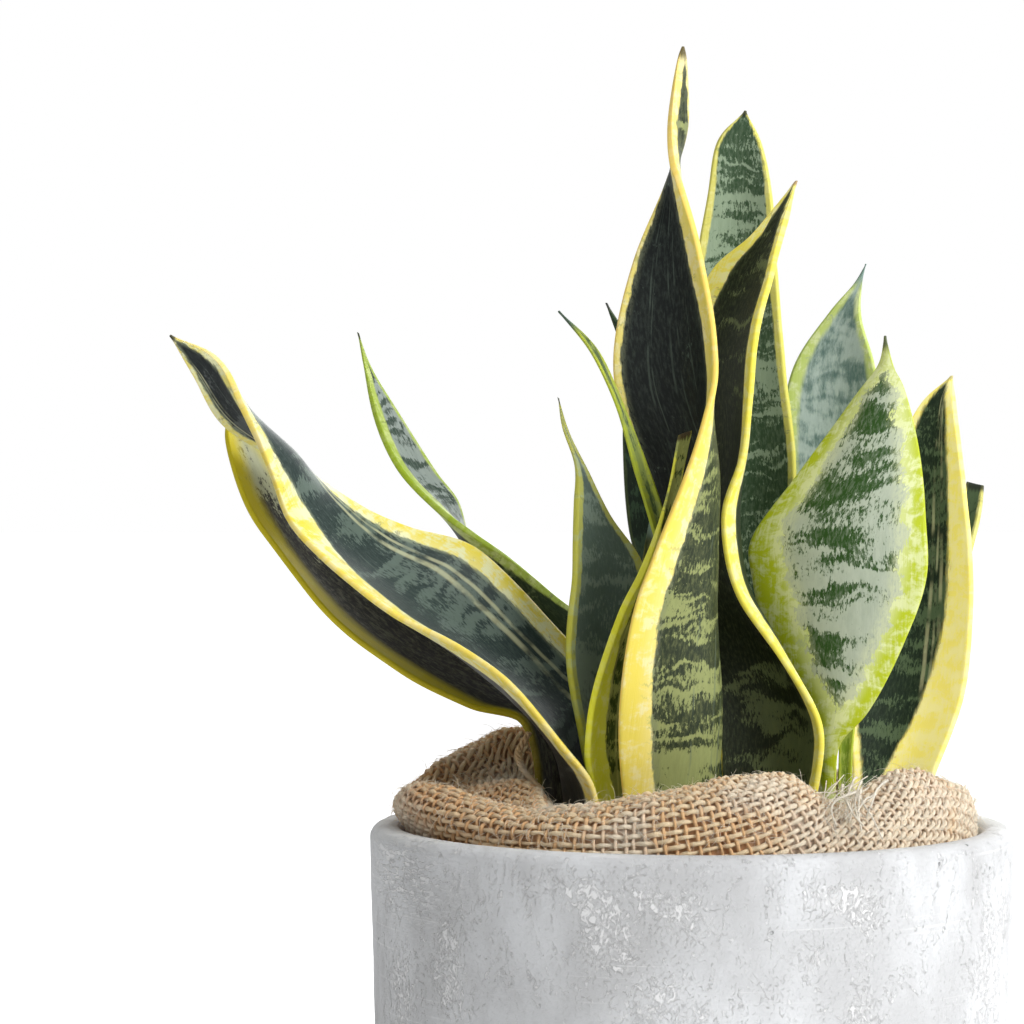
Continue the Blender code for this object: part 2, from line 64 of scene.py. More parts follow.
# Each leaf, from its root to its tip: left edge x, y, z and right edge x, y, z in millimetres, z above the
# soil, and how far each half folds out of the flat, in degrees.
LEAVES = {
    "tall_front_leaf": (
        (0, -9, -10, -12, -29, -10, 55),
        (2, -7, 14, -17, -33, 15, 54),
        (1, -5, 34, -18, -36, 34, 56),
        (-6, -4, 56, -15, -38, 56, 60),
        (-8, -6, 71, -10, -38, 70, 60),
        (-12, -8, 87, -2, -37, 90, 55),
        (-18.5, -13, 111, 4, -31, 111, 42),
        (-14, -17, 136, 0.5, -27, 137, 34),
        (-7, -18, 152, -4, -25, 153, 25),
        (-4.5, -17, 158, -5.5, -24, 158, 10),
        (-1.7, -19, 167, -6, -23, 167, -10),
        (-1.7, -20, 176, -5, -22, 176, -8),
        (-2.1, -21, 182, -3.9, -21.5, 182, -4),
        (-2.6, -21, 184.3, -3.1, -21, 184.3, 0),
    ),
    "nested_front_leaf": (
        (-20, -24, -8, -12, -20, -8, 40),
        (-23, -26, 14, -11, -20, 14, 45),
        (-25, -28, 25, -10, -22, 26, 48),
        (-22, -29, 42, -9, -23, 44, 48),
        (-17, -29, 56, -8, -25, 57, 45),
        (-12, -28, 66, -6, -25, 68, 40),
        (-7, -26, 81, -4, -25, 82, 30),
        (-4, -26, 96, -1, -25, 97, 20),
    ),
    "short_left_leaf": (
        (-22, -13, -8, -14, -6, -8, 22),
        (-23, -16, 14, -12, -4, 13, 25),
        (-26, -18, 27, -10, -2, 27, 26),
        (-29, -17, 46, -9, -1, 46, 28),
        (-27.5, -14, 64, -11, -2, 66, 28),
        (-27, -12, 78, -19, -6, 78, 25),
        (-27, -9, 89, -24, -8, 88, 20),
        (-30, -8, 98, -28.5, -8, 97, 15),
        (-31, -8, 105, -31, -8, 105, 0),
    ),
    "sweeping_left_leaf": (
        (-24, -28, -10, -21, 0, -10, 34),
        (-23, -34, 15, -19, 3, 16, 36),
        (-31, -34, 27, -17, 6, 36, 34),
        (-43, -33, 41, -22, 7, 41, 32),
        (-53, -31, 48, -31, 8, 51, 32),
        (-69, -28, 56, -50, 6, 70, 32),
        (-82, -26, 66, -66, 3, 75, 24),
        (-92, -23, 76, -79, -5, 81, 0),
        (-97, -20, 88, -94, -2, 90, -36),
        (-103, -18, 102, -108, -7, 98, -36),
        (-109.5, -17, 114, -115, -14, 110, -14),
        (-120, -16, 119, -120, -16, 119, 0),
    ),
    "low_left_leaf": (
        (-34, 2, -8, -28, 8, -8, 32),
        (-39, 3, 29, -30, 10, 29, 32),
        (-52, 2, 33, -40, 17, 41, 26),
        (-69, 0, 42, -55, 18, 51, 24),
        (-83.5, -2, 53.5, -70, 16, 62, 24),
        (-96, -2, 69, -86, 12, 73, 24),
        (-103, -2, 79, -92.5, 8, 84, 22),
        (-107, -1, 89, -98, 5, 94, 18),
        (-108.6, 0, 96, -103, 3, 99, 14),
        (-108, 1, 103, -107, 1, 103, 0),
    ),
    "back_left_leaf": (
        (-13, 15, -8, -21, 12, -8, 32),
        (-10, 20, 20, -25, 17, 18, 35),
        (-20, 20, 48, -30, 25, 35, 35),
        (-32, 20, 59, -41, 27, 47, 32),
        (-43, 20, 68, -49, 29, 63, 28),
        (-51, 18, 73, -53, 30, 73, 22),
        (-59, 19, 79, -55, 30, 81, 22),
        (-69, 21, 89, -60, 29, 88, 22),
        (-75, 23, 103, -69.5, 27, 103, 20),
        (-77.5, 25, 114, -75.5, 26, 113, 15),
        (-79, 25, 122, -79, 25, 122, 0),
    ),
    "rear_middle_leaf": (
        (-9, 13, -8, -2, 11, -8, 25),
        (-8, 16, 53, 2, 14, 53, 28),
        (-13.5, 20, 74, 1, 16, 74, 28),
        (-15, 22, 96, -1, 18, 96, 25),
        (-14.5, 22, 113, -9, 20, 113, 20),
        (-19, 22, 129, -19, 22, 129, 0),
    ),
    "thin_arching_leaf": (
        (-9, -13, -8, -5, -12, -8, 35),
        (-8, -14, 30, -3, -13, 30, 35),
        (-6, -15, 61, -2, -14, 62, 35),
        (-10, -16, 76, -6, -15, 76, 35),
        (-14, -19, 89, -11, -18, 90, 35),
        (-18, -18, 103, -16.5, -17, 104, 30),
        (-23, -16, 114, -21.5, -15, 115, 25),
        (-31, -9, 125, -31, -9, 125, 0),
    ),
    "young_shoot": (
        (-9, 4, -8, -5, 3, -8, 25),
        (-12, 6, 58, -9, 5, 58, 30),
        (-11, 6, 67, -8, 5, 67, 25),
        (-9, 6, 78, -9, 6, 78, 0),
    ),
    "twisted_right_leaf": (
        (8, -6, -10, 21, -17, -10, 45),
        (7, -5, 18, 28, -21, 19, 45),
        (6, -3, 33, 28, -21, 31, 45),
        (5, 2, 46, 20, -18, 45, 45),
        (3, 8, 61, 10, -13, 60, 42),
        (1, 11, 76, 7, -11, 76, 45),
        (3, 10, 97, 12, -14, 95, 24),
        (0, 6, 119, 14, -16, 117, 22),
        (5, 0, 135, 18, -14, 134, 32),
        (14, -6, 143, 21, -12, 144, 22),
        (24, -10, 155, 24, -10, 155, 0),
    ),
    "tall_back_leaf": (
        (2, 22, -8, 12, 22, -8, 32),
        (4, 26, 30, 24, 23, 30, 35),
        (5, 29, 57, 26, 25, 57, 32),
        (4, 30, 86, 27, 25, 89, 30),
        (3, 30, 111, 24.5, 25, 112, 28),
        (3, 30, 137, 22.5, 25, 137, 26),
        (6, 29, 156, 21, 25, 156, 24),
        (8, 28, 168, 19, 26, 167, 20),
        (15, 27, 176, 15, 27, 176, 0),
    ),
    "broad_front_leaf": (
        (28, -8, -8, 34, -10, -8, -30),
        (30, -8, 18, 33, -11, 18, -30),
        (29, -7, 24, 34, -11, 25, -28),
        (27, -5, 31, 40, -12, 32, -25),
        (19, 1, 46, 48, -12, 47, -20),
        (14.5, 3, 64, 54, -11, 64, -18),
        (14.5, 3, 72, 54, -9, 77, -18),
        (26, 1, 88, 53, -6, 92, -18),
        (38, 2, 104, 50, -2, 107, -15),
        (44, 3, 112, 48, 1, 112, -12),
        (46, 3, 120, 46, 3, 120, 0),
    ),
    "right_leaf": (
        (37, 3, -8, 48, -2, -8, 28),
        (39, 9, 17, 57, 0, 17, 28),
        (38, 13, 34, 64, 3, 34, 28),
        (41, 17, 57, 67, 6, 58, 28),
        (47, 18, 84, 65.5, 8, 84, 26),
        (55, 15, 103, 63.5, 10, 103, 20),
        (63, 12, 111, 63, 12, 111, 0),
    ),
    "right_shoot": (
        (34, -2, -8, 38, -3, -8, 22),
        (34.5, -2, 20, 37.5, -3, 20, 25),
        (36, 3, 44, 40, 2, 44, 25),
        (39, 6, 64, 39, 6, 64, 0),
    ),
    "small_right_leaf": (
        (42, 15, -8, 50, 13, -8, 20),
        (53, 25, 33, 62, 21, 33, 22),
        (62, 28, 62, 68, 25, 63, 20),
        (67, 29, 78, 72, 27, 78, 18),
        (69, 29, 86, 73, 28, 85, 15),
    ),
    "back_right_leaf": (
        (18, 28, -8, 27, 28, -8, 25),
        (18, 36, 30, 36, 33, 30, 28),
        (28, 42, 57, 49, 36, 57, 28),
        (25, 44, 89, 51, 38, 89, 25),
        (28, 44, 114, 48, 40, 114, 22),
        (37, 43, 128, 44.5, 41, 127, 18),
        (43, 42, 135, 45, 42, 135, 12),
        (46, 42, 140, 46, 42, 140, 0),
    ),
}

# The width of each leaf's pale margins in millimetres, left and right, at shares of the way from root to tip.
MARGINS = {
    "tall_front_leaf": (
        ((0, 0), (0.3, 0), (0.42, 2), (0.5, 2), (0.65, 1.6), (0.8, 0.9), (0.85, 0.2), (1, 0.1)),
        ((0, 6.5), (0.2, 7.5), (0.35, 6), (0.55, 5), (0.75, 4), (0.88, 1.8), (1, 1.2)),
    ),
    "nested_front_leaf": (
        ((0, 9), (0.4, 7), (0.7, 1.4), (0.8, 0.3), (1, 0.1)),
        ((0, 3), (0.7, 1.2), (0.85, 0.2), (1, 0.1)),
    ),
    "short_left_leaf": (((0, 3.2), (0.5, 2.6), (0.85, 1.4), (1, 0.4)), ((0, 3), (0.6, 2), (1, 0.5))),
    "sweeping_left_leaf": (
        ((0, 2.8), (0.2, 3.6), (0.35, 6.5), (0.6, 8.5), (0.7, 6), (0.77, 3), (0.88, 2), (1, 0.1)),
        ((0, 5), (0.3, 5), (0.55, 5), (0.68, 4), (0.77, 2.2), (0.88, 1.8), (1, 0.1)),
    ),
    "low_left_leaf": (
        ((0, 0), (0.22, 0), (0.3, 2.5), (0.45, 5.5), (0.8, 5), (1, 2)),
        ((0, 0), (0.22, 0), (0.35, 2), (0.5, 3), (0.8, 5), (1, 3)),
    ),
    "back_left_leaf": (
        ((0, 0.8), (0.4, 1.2), (0.7, 3.2), (1, 0.8)),
        ((0, 1.2), (0.4, 1.4), (0.6, 1.2), (1, 0.5)),
    ),
    "rear_middle_leaf": (((0, 1), (1, 0.3)), ((0, 1), (1, 0.3))),
    "thin_arching_leaf": (((0, 1.2), (0.6, 1.4), (1, 0.3)), ((0, 1), (0.6, 1.2), (1, 0.2))),
    "young_shoot": (((0, 0.8), (1, 0.2)), ((0, 0.8), (1, 0.2))),
    "twisted_right_leaf": (
        ((0, 0), (0.5, 0), (0.62, 2), (0.7, 5), (0.85, 5), (1, 0.4)),
        ((0, 3.6), (0.2, 3.4), (0.35, 4.5), (0.6, 5), (0.8, 3), (0.9, 1.6), (1, 0.3)),
    ),
    "tall_back_leaf": (((0, 1.2), (0.6, 1.5), (0.85, 2), (1, 0.3)), ((0, 1.5), (0.8, 1.8), (1, 0.4))),
    "broad_front_leaf": (
        ((0, 3.5), (0.25, 7.5), (0.5, 12), (0.8, 6), (0.93, 2), (1, 0.1)),
        ((0, 2.5), (0.3, 6.2), (0.55, 7), (0.8, 3.8), (0.93, 1.2), (1, 0.1)),
    ),
    "right_leaf": (
        ((0, 2), (0.5, 2), (0.8, 3), (1, 0.6)),
        ((0, 14), (0.15, 15), (0.3, 12.5), (0.5, 8), (0.8, 4.5), (1, 0.8)),
    ),
    "right_shoot": (((0, 0.9), (1, 0.2)), ((0, 0.9), (1, 0.2))),
    "small_right_leaf": (((0, 2), (1, 0.5)), ((0, 2), (1, 0.5))),
    "back_right_leaf": (((0, 2.5), (0.6, 4.5), (0.85, 3), (1, 0.4)), ((0, 2.5), (0.7, 3), (1, 0.4))),
}


def screen(red, green, blue):
    """A linear colour from 8-bit screen values."""
    parts = np.array([red, green, blue]) / 255
    return tuple(np.where(parts <= 0.04045, parts / 12.92, ((parts + 0.055) / 1.055) ** 2.4))


# How each leaf is coloured:
#   margin, blotch   its pale edges, and the patches on them
#    rim              the line along its very edge, partly its own colour and partly a painted highlight
#   bands, soft      spacing of its cross bands in millimetres, and how soft they are
#   jag, blend       how ragged and how soft the inner border of its pale edges is
#   blotches, cream  how many patches there are, and how much of them lies along that border
#    coat, glow       how waxy it is, and the strength of a painted glow on its pale edges, for light shining through them
#    halo             the colour just inside its pale edges, on some leaves a painted grey sheen, how far it reaches and how much it covers
#   tip              length of its dry end in millimetres, and that end's colour
#   streaks          lines along it: place across, from -1 to 1, and share of the half width
#   inner, outer     on its hollow and its bulging face: the dark colour, the pale one, and how much of the
#                    blade the pale one takes
LOOKS = {
    "tall_front_leaf": dict(
        # Its rim line is partly a painted highlight along the edge.
        margin=screen(244, 224, 96), blotch=screen(250, 238, 176), rim=screen(248, 206, 108), bands=2.8,
        # Its halo is a painted grey sheen beside the pale band on its hollow side.
        jag=2.2, glow=0.06, halo=(screen(128, 134, 108), 2.0, 0.55), tip=(4, screen(52, 44, 46)),
        streaks=((-0.5, 0.014), (-0.44, 0.008), (-0.12, 0.017), (0.02, 0.012), (0.3, 0.008)),
        inner=(screen(20, 26, 25), screen(96, 110, 98), 0.12),
        outer=(screen(40, 50, 30), screen(160, 168, 106), 0.62),
    ),
    "nested_front_leaf": dict(
        margin=screen(230, 230, 64), blotch=screen(240, 240, 160), bands=6, jag=3.5, glow=0.1,
        tip=(2, screen(80, 64, 44)),
        streaks=((-0.3, 0.05), (0.1, 0.03)),
        inner=(screen(70, 88, 40), screen(190, 198, 120), 0.55),
        outer=(screen(84, 100, 40), screen(222, 224, 130), 0.65),
    ),
    "short_left_leaf": dict(
        margin=screen(206, 204, 76), blotch=screen(200, 212, 160), bands=6, jag=2,
        inner=(screen(98, 116, 108), screen(146, 164, 150), 0.4),
        outer=(screen(58, 74, 68), screen(110, 126, 110), 0.35),
    ),
    "sweeping_left_leaf": dict(
        # Its rim line is partly a painted highlight along the edge.
        margin=screen(240, 222, 72), blotch=screen(240, 240, 190), rim=screen(244, 214, 110), bands=5,
        soft=1.1, jag=2.6, blotches=0.62, halo=(screen(176, 186, 150), 1.2, 0.45),
        streaks=((-0.02, 0.012), (0.5, 0.03), (0.62, 0.02)),
        inner=(screen(36, 52, 50), screen(102, 118, 108), 0.24),
        outer=(screen(32, 38, 38), screen(84, 90, 88), 0.3),
    ),
    "low_left_leaf": dict(
        margin=screen(206, 190, 28), blotch=screen(206, 196, 60), bands=14, blend=2.2, blotches=0.3,
        cream=0.0, coat=0.04,
        inner=(screen(50, 48, 52), screen(188, 192, 160), 0.3),
        outer=(screen(44, 48, 34), screen(84, 88, 60), 0.3),
    ),
    "back_left_leaf": dict(
        margin=screen(164, 190, 44), blotch=screen(206, 220, 140), bands=3.2, soft=1.4,
        inner=(screen(52, 72, 60), screen(166, 178, 172), 0.5),
        outer=(screen(34, 50, 26), screen(96, 110, 70), 0.4),
    ),
    "rear_middle_leaf": dict(
        margin=screen(64, 78, 48), blotch=screen(80, 92, 62), bands=7,
        inner=(screen(26, 40, 30), screen(60, 84, 62), 0.4),
        outer=(screen(26, 40, 30), screen(60, 84, 62), 0.4),
    ),
    "thin_arching_leaf": dict(
        margin=screen(196, 208, 60), blotch=screen(170, 184, 90), bands=9, tip=(10, screen(74, 100, 100)),
        inner=(screen(84, 104, 62), screen(156, 172, 90), 0.5),
        outer=(screen(58, 80, 66), screen(110, 128, 90), 0.4),
    ),
    "young_shoot": dict(
        margin=screen(96, 98, 44), blotch=screen(120, 120, 60), bands=8, tip=(7, screen(120, 142, 132)),
        inner=(screen(46, 54, 30), screen(90, 94, 56), 0.4),
        outer=(screen(46, 54, 30), screen(90, 94, 56), 0.4),
    ),
    "twisted_right_leaf": dict(
        margin=screen(246, 232, 88), blotch=screen(252, 246, 190), bands=4.5, blotches=0.6, cream=0.2,
        glow=0.14, halo=(screen(120, 130, 96), 1.2, 0.5), tip=(2.2, screen(150, 116, 106)),
        inner=(screen(36, 44, 28), screen(128, 140, 96), 0.5),
        outer=(screen(34, 46, 34), screen(104, 120, 92), 0.4),
    ),
    "tall_back_leaf": dict(
        margin=screen(226, 220, 96), blotch=screen(240, 234, 150), bands=2.2, soft=1.0,
        tip=(2, screen(36, 46, 44)),
        inner=(screen(60, 84, 58), screen(168, 188, 160), 0.56),
        outer=(screen(46, 62, 42), screen(120, 140, 108), 0.5),
    ),
    "broad_front_leaf": dict(
        margin=screen(186, 200, 34), blotch=screen(226, 233, 176), rim=screen(192, 208, 30), bands=4.5,
        jag=9, blotches=0.55, cream=0.62, glow=0.05, halo=(screen(224, 230, 182), 3.5, 0.5),
        tip=(5, screen(52, 62, 62)),
        inner=(screen(44, 78, 26), screen(200, 210, 190), 0.56),
        outer=(screen(62, 92, 42), screen(170, 184, 160), 0.6),
    ),
    "right_leaf": dict(
        margin=screen(252, 234, 122), blotch=screen(255, 250, 200), bands=5, jag=2.4, blend=0.7,
        blotches=0.7, cream=0.0, glow=0.36, tip=(2, screen(150, 146, 124)),
        streaks=((0.22, 0.03), (0.32, 0.02), (0.4, 0.03)),
        inner=(screen(36, 50, 40), screen(104, 124, 92), 0.4),
        outer=(screen(46, 60, 46), screen(90, 110, 80), 0.4),
    ),
    "right_shoot": dict(
        margin=screen(176, 194, 44), blotch=screen(200, 210, 100), bands=8,
        inner=(screen(130, 156, 50), screen(180, 196, 96), 0.5),
        outer=(screen(130, 156, 50), screen(180, 196, 96), 0.5),
    ),
    "small_right_leaf": dict(
        margin=screen(210, 206, 110), blotch=screen(226, 224, 160), bands=7,
        inner=(screen(34, 50, 36), screen(84, 104, 76), 0.4),
        outer=(screen(34, 50, 36), screen(84, 104, 76), 0.4),
    ),
    "back_right_leaf": dict(
        margin=screen(188, 208, 96), blotch=screen(218, 228, 170), bands=6, soft=3,
        tip=(8, screen(120, 148, 146)),
        inner=(screen(96, 122, 116), screen(190, 206, 198), 0.6),
        outer=(screen(80, 100, 90), screen(150, 170, 160), 0.6),
    ),
}

# The cloth, going round from the right: angle in degrees, then in millimetres the radius of its opening, the
# radius of its crest, the crest's height above the pot's rim, and the rise of a second hump inside the crest.
CLOTH = (
    (0, 60, 63.5, 6, 0),
    (30, 60, 63.5, 7, 0),
    (60, 49, 57, 9, 0),
    (90, 44, 55, 10, 0),
    (125, 40, 50, 14, 0),
    (150, 39, 45, 20.5, 0),
    (158, 42, 53, 16.5, 0),
    (166, 44, 59.5, 13, 0),
    (176, 45, 63.5, 8.5, 0),
    (186, 45, 63.8, 8, 1),
    (194, 44, 62.5, 10.5, 3),
    (204, 39, 60.5, 10.5, 7),
    (214, 37, 59, 8.5, 7.5),
    (223, 42, 58, 8, 3),
    (236, 48, 58, 8, 0),
    (262, 44, 54, 12.5, 0),
    (288, 42, 54, 16, 0),
    (303, 44, 56, 9, 0),
    (318, 50, 58, 16, 0),
    (342, 57, 62, 10, 0),
)

# How pale each leaf is: the share of the way from root to tip, then the shift at its left edge, middle and
# right edge.
TONES = {
    "broad_front_leaf": (
        (0, 0.4, 0.1, 0.45), (0.3, 0.4, -0.08, 0.4), (0.55, 0.45, -0.14, 0.3), (0.8, 0.2, -0.16, 0.1),
        (0.93, -0.1, -0.3, -0.1), (1, -0.6, -0.6, -0.6),
    ),
    "tall_front_leaf": (
        (0, -0.2, 0.1, 0.2), (0.12, -0.25, 0.08, 0.2), (0.3, -0.35, -0.25, 0.0), (0.48, -0.3, -0.35, -0.1),
        (0.55, -0.1, -0.25, -0.1), (0.6, -0.15, -0.25, -0.15), (0.8, -0.2, -0.25, -0.2),
        (0.86, -0.1, -0.15, -0.1), (0.91, -0.1, -0.15, -0.1), (0.935, -0.9, -0.9, -0.9),
    ),
    "tall_back_leaf": (
        (0, -0.25, -0.2, -0.25), (0.5, -0.15, -0.15, -0.2), (0.7, 0.12, 0.0, -0.05), (0.88, 0.1, -0.1, 0.0),
        (0.97, -0.2, -0.3, -0.2), (1, -0.5, -0.5, -0.5),
    ),
    "twisted_right_leaf": (
        (0, -0.3, 0.3, 0.35), (0.2, -0.35, 0.2, 0.3), (0.38, -0.4, -0.4, -0.1), (0.6, -0.4, -0.45, -0.3),
        (0.75, -0.3, -0.25, -0.2), (0.9, -0.3, -0.2, -0.1), (0.97, -0.6, -0.6, -0.6),
    ),
    "back_left_leaf": (
        (0, -0.7, -0.7, -0.7), (0.42, -0.6, -0.6, -0.5), (0.52, 0.12, -0.08, 0.12), (0.9, 0.15, -0.1, 0.15),
        (1, 0.1, 0.1, 0.1),
    ),
    "sweeping_left_leaf": (
        (0, -0.1, 0, 0.05), (0.3, -0.05, 0.05, 0.2), (0.6, -0.05, 0.12, 0.2), (0.85, -0.1, 0, 0.1),
        (1, -0.4, -0.4, -0.4),
    ),
    "back_right_leaf": (
        (0, 0, 0, 0), (0.7, 0.05, 0.05, 0), (0.92, -0.05, -0.15, -0.15), (1, 0.1, 0.1, 0.1),
    ),
    "right_leaf": (
        (0, -0.05, 0, 0), (0.6, 0, 0.02, 0.1), (0.9, -0.05, -0.05, 0.05), (1, -0.2, -0.2, -0.2),
    ),
    "low_left_leaf": (
        (0, -0.5, -0.5, -0.5), (0.55, -0.5, -0.5, -0.4), (0.75, -0.3, -0.2, 0.3), (0.9, 0, 0.2, 0.5),
        (1, 0.2, 0.4, 0.5),
    ),
}

# Where lime has bloomed on the pot: angle in degrees, height in millimetres, and the spread of each.
BLOOMS = (
    (246, 132, 11, 7),
    (262, 130, 8, 4),
    (222, 112, 4, 22),
    (252, 118, 5, 10),
    (262, 104, 6, 14),
    (296, 112, 4, 24),
    (291, 131, 9, 5),
    (283, 120, 7, 6),
    (332, 112, 8, 20),
    (205, 96, 8, 30),
    (240, 72, 9, 18),
    (300, 62, 12, 18),
    (20, 110, 16, 22),
    (80, 120, 18, 12),
    (130, 90, 16, 26),
    (170, 118, 10, 16),
)
CRAZED = (205, 132, 14, 9)


def length(name, description, default):
    return bpy.props.FloatProperty(
        name=name, description=description, default=default, unit="LENGTH", precision=5, min=0
    )


def colour(name, description, default):
    return bpy.props.FloatVectorProperty(
        name=name, description=description, default=default, subtype="COLOR", size=3, min=0, max=1
    )


class PotLook(bpy.types.PropertyGroup):
    """The concrete pot."""

    wall: length("Wall", "Thickness of the pot's wall", 0.008)
    foot_inset: length("Foot inset", "How much narrower the foot is than the rim", 0.0035)
    rounding: length("Rim rounding", "Radius of the rim's rounded edges", 0.0032)
    roughness: length("Unevenness", "How far the cast surface wanders in and out", 0.00035)
    face: colour("Concrete", "The concrete's own colour", screen(231, 233, 235))
    chalk: colour("Chalk", "The lime bloom's colour", screen(255, 255, 255))


class LeafLook(bpy.types.PropertyGroup):
    """What all the leaves share."""

    midrib: length("Middle", "Thickness along the middle of a leaf", 0.0024)
    margin: length("Margin", "Thickness at a leaf's edges", 0.0014)
    spacing: length("Spacing", "Distance between the rows of a leaf's mesh", 0.0016)
    ripple: length("Ripple", "How far a leaf's edges wave", 0.00035)


class HessianLook(bpy.types.PropertyGroup):
    """The cloth."""

    pitch: length("Pitch", "Distance from one thread running round to the next", 0.0018)
    warp_pitch: length("Warp pitch", "Distance from one thread running in to the next", 0.0022)
    thread: length("Thread", "Radius of a thread", 0.00046)
    depth: length("Depth", "How far a thread rises and dips as it weaves", 0.00042)
    hair: length("Hair", "Radius of a loose fibre", 0.00004)
    hairs: bpy.props.IntProperty(name="Hairs", description="Number of loose fibres", default=5200, min=0)
    jute: colour("Jute", "The threads' colour", screen(255, 232, 192))
    # The lower layer's colour is partly painted shade for the gaps of the weave.
    shade: colour("Shade", "The colour of the cloth's lower layer", screen(226, 180, 138))


class SnakePlant(bpy.types.PropertyGroup):
    """All the settings."""

    pot: bpy.props.PointerProperty(type=PotLook)
    leaf: bpy.props.PointerProperty(type=LeafLook)
    hessian: bpy.props.PointerProperty(type=HessianLook)


def look():
    return bpy.context.scene.snake_plant


# ---- Small helpers -------------------------------------------------------------------------------


def start_clean():
    """Object mode, with nothing selected."""
    if bpy.context.object and bpy.context.object.mode != "OBJECT":
        bpy.ops.object.mode_set(mode="OBJECT")
    bpy.ops.object.select_all(action="DESELECT")


def pick(piece):
    start_clean()
    piece.select_set(True)
    bpy.context.view_layer.objects.active = piece


def add_object(name, data):
    made = bpy.data.objects.new(name, data)
    bpy.context.scene.collection.objects.link(made)
    return made


def edit_all():
    """Edit mode, with everything selected."""
    bpy.ops.object.mode_set(mode="EDIT")
    bpy.ops.mesh.select_all(action="SELECT")


def turn_outwards():
    """Turns all the faces of the mesh in hand outwards."""
    edit_all()
    bpy.ops.mesh.normals_make_consistent(inside=False)
    bpy.ops.object.mode_set(mode="OBJECT")


def mark(mesh, name, values, kind="FLOAT", domain="POINT"):
    """Gives each point or face a value, for its material to read."""
    field = "vector" if kind == "FLOAT_VECTOR" else "value"
    mesh.attributes.new(name, kind, domain).data.foreach_set(field, np.asarray(values, float).ravel())


def apply_modifiers(piece):
    pick(piece)
    for modifier in list(piece.modifiers):
        bpy.ops.object.modifier_apply(modifier=modifier.name)


def settle(piece, name, slot, finish, *nodes):
    """Names a finished piece, gives it its material and joins it to the frame."""
    pick(piece)
    piece.name = piece.data.name = name
    bpy.ops.object.transform_apply(location=True, rotation=True, scale=True)
    piece.data.materials.clear()
    piece.data.materials.append(finish)
    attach(piece, "root")
    if nodes:
        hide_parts(*nodes)
    return piece


def points_of(piece):
    flat = np.empty(len(piece.data.vertices) * 3)
    piece.data.vertices.foreach_get("co", flat)
    return flat.reshape(-1, 3)


def set_points(piece, points):
    piece.data.vertices.foreach_set("co", np.asarray(points, float).ravel())
    piece.data.update()


def unit(vectors):
    return vectors / np.maximum(np.linalg.norm(vectors, axis=-1, keepdims=True), 1e-12)


def wander(points, scale, seed):
    """Smooth noise from about -1 to 1 at each point."""
    return np.array([noise.noise(Vector(p) * scale + Vector((seed, 2.7 * seed, -seed))) for p in points])


def through(rows, steps, closed=False):
    """Points on a smooth curve through the rows, which may hold any numbers. The ends stay as given."""
    rows = np.array(rows, float)
    knots = np.vstack([rows, rows[:1]]) if closed else rows
    lengths = np.maximum(np.linalg.norm(np.diff(knots, axis=0), axis=1), 1e-9) ** 0.5
    at = np.concatenate([[0], np.cumsum(lengths)])
    slopes = np.diff(knots, axis=0) / lengths[:, None]
    tangents = np.empty_like(knots)
    blend = lengths[:-1, None] / (lengths[:-1] + lengths[1:])[:, None]
    tangents[1:-1] = slopes[:-1] * (1 - blend) + slopes[1:] * blend
    if closed:
        last = lengths[-1] / (lengths[-1] + lengths[0])
        tangents[0] = tangents[-1] = slopes[-1] * (1 - last) + slopes[0] * last
    else:
        tangents[0] = slopes[0]
        tangents[-1] = slopes[-1]
    where = np.linspace(0, at[-1], steps + 1)
    index = np.clip(np.searchsorted(at, where, side="right") - 1, 0, len(lengths) - 1)
    width = lengths[index][:, None]
    t = (where - at[index])[:, None] / width
    return (
        (2 * t**3 - 3 * t**2 + 1) * knots[index]
        + (t**3 - 2 * t**2 + t) * width * tangents[index]
        + (3 * t**2 - 2 * t**3) * knots[index + 1]
        + (t**3 - t**2) * width * tangents[index + 1]
    )


# ---- Materials -----------------------------------------------------------------------------------


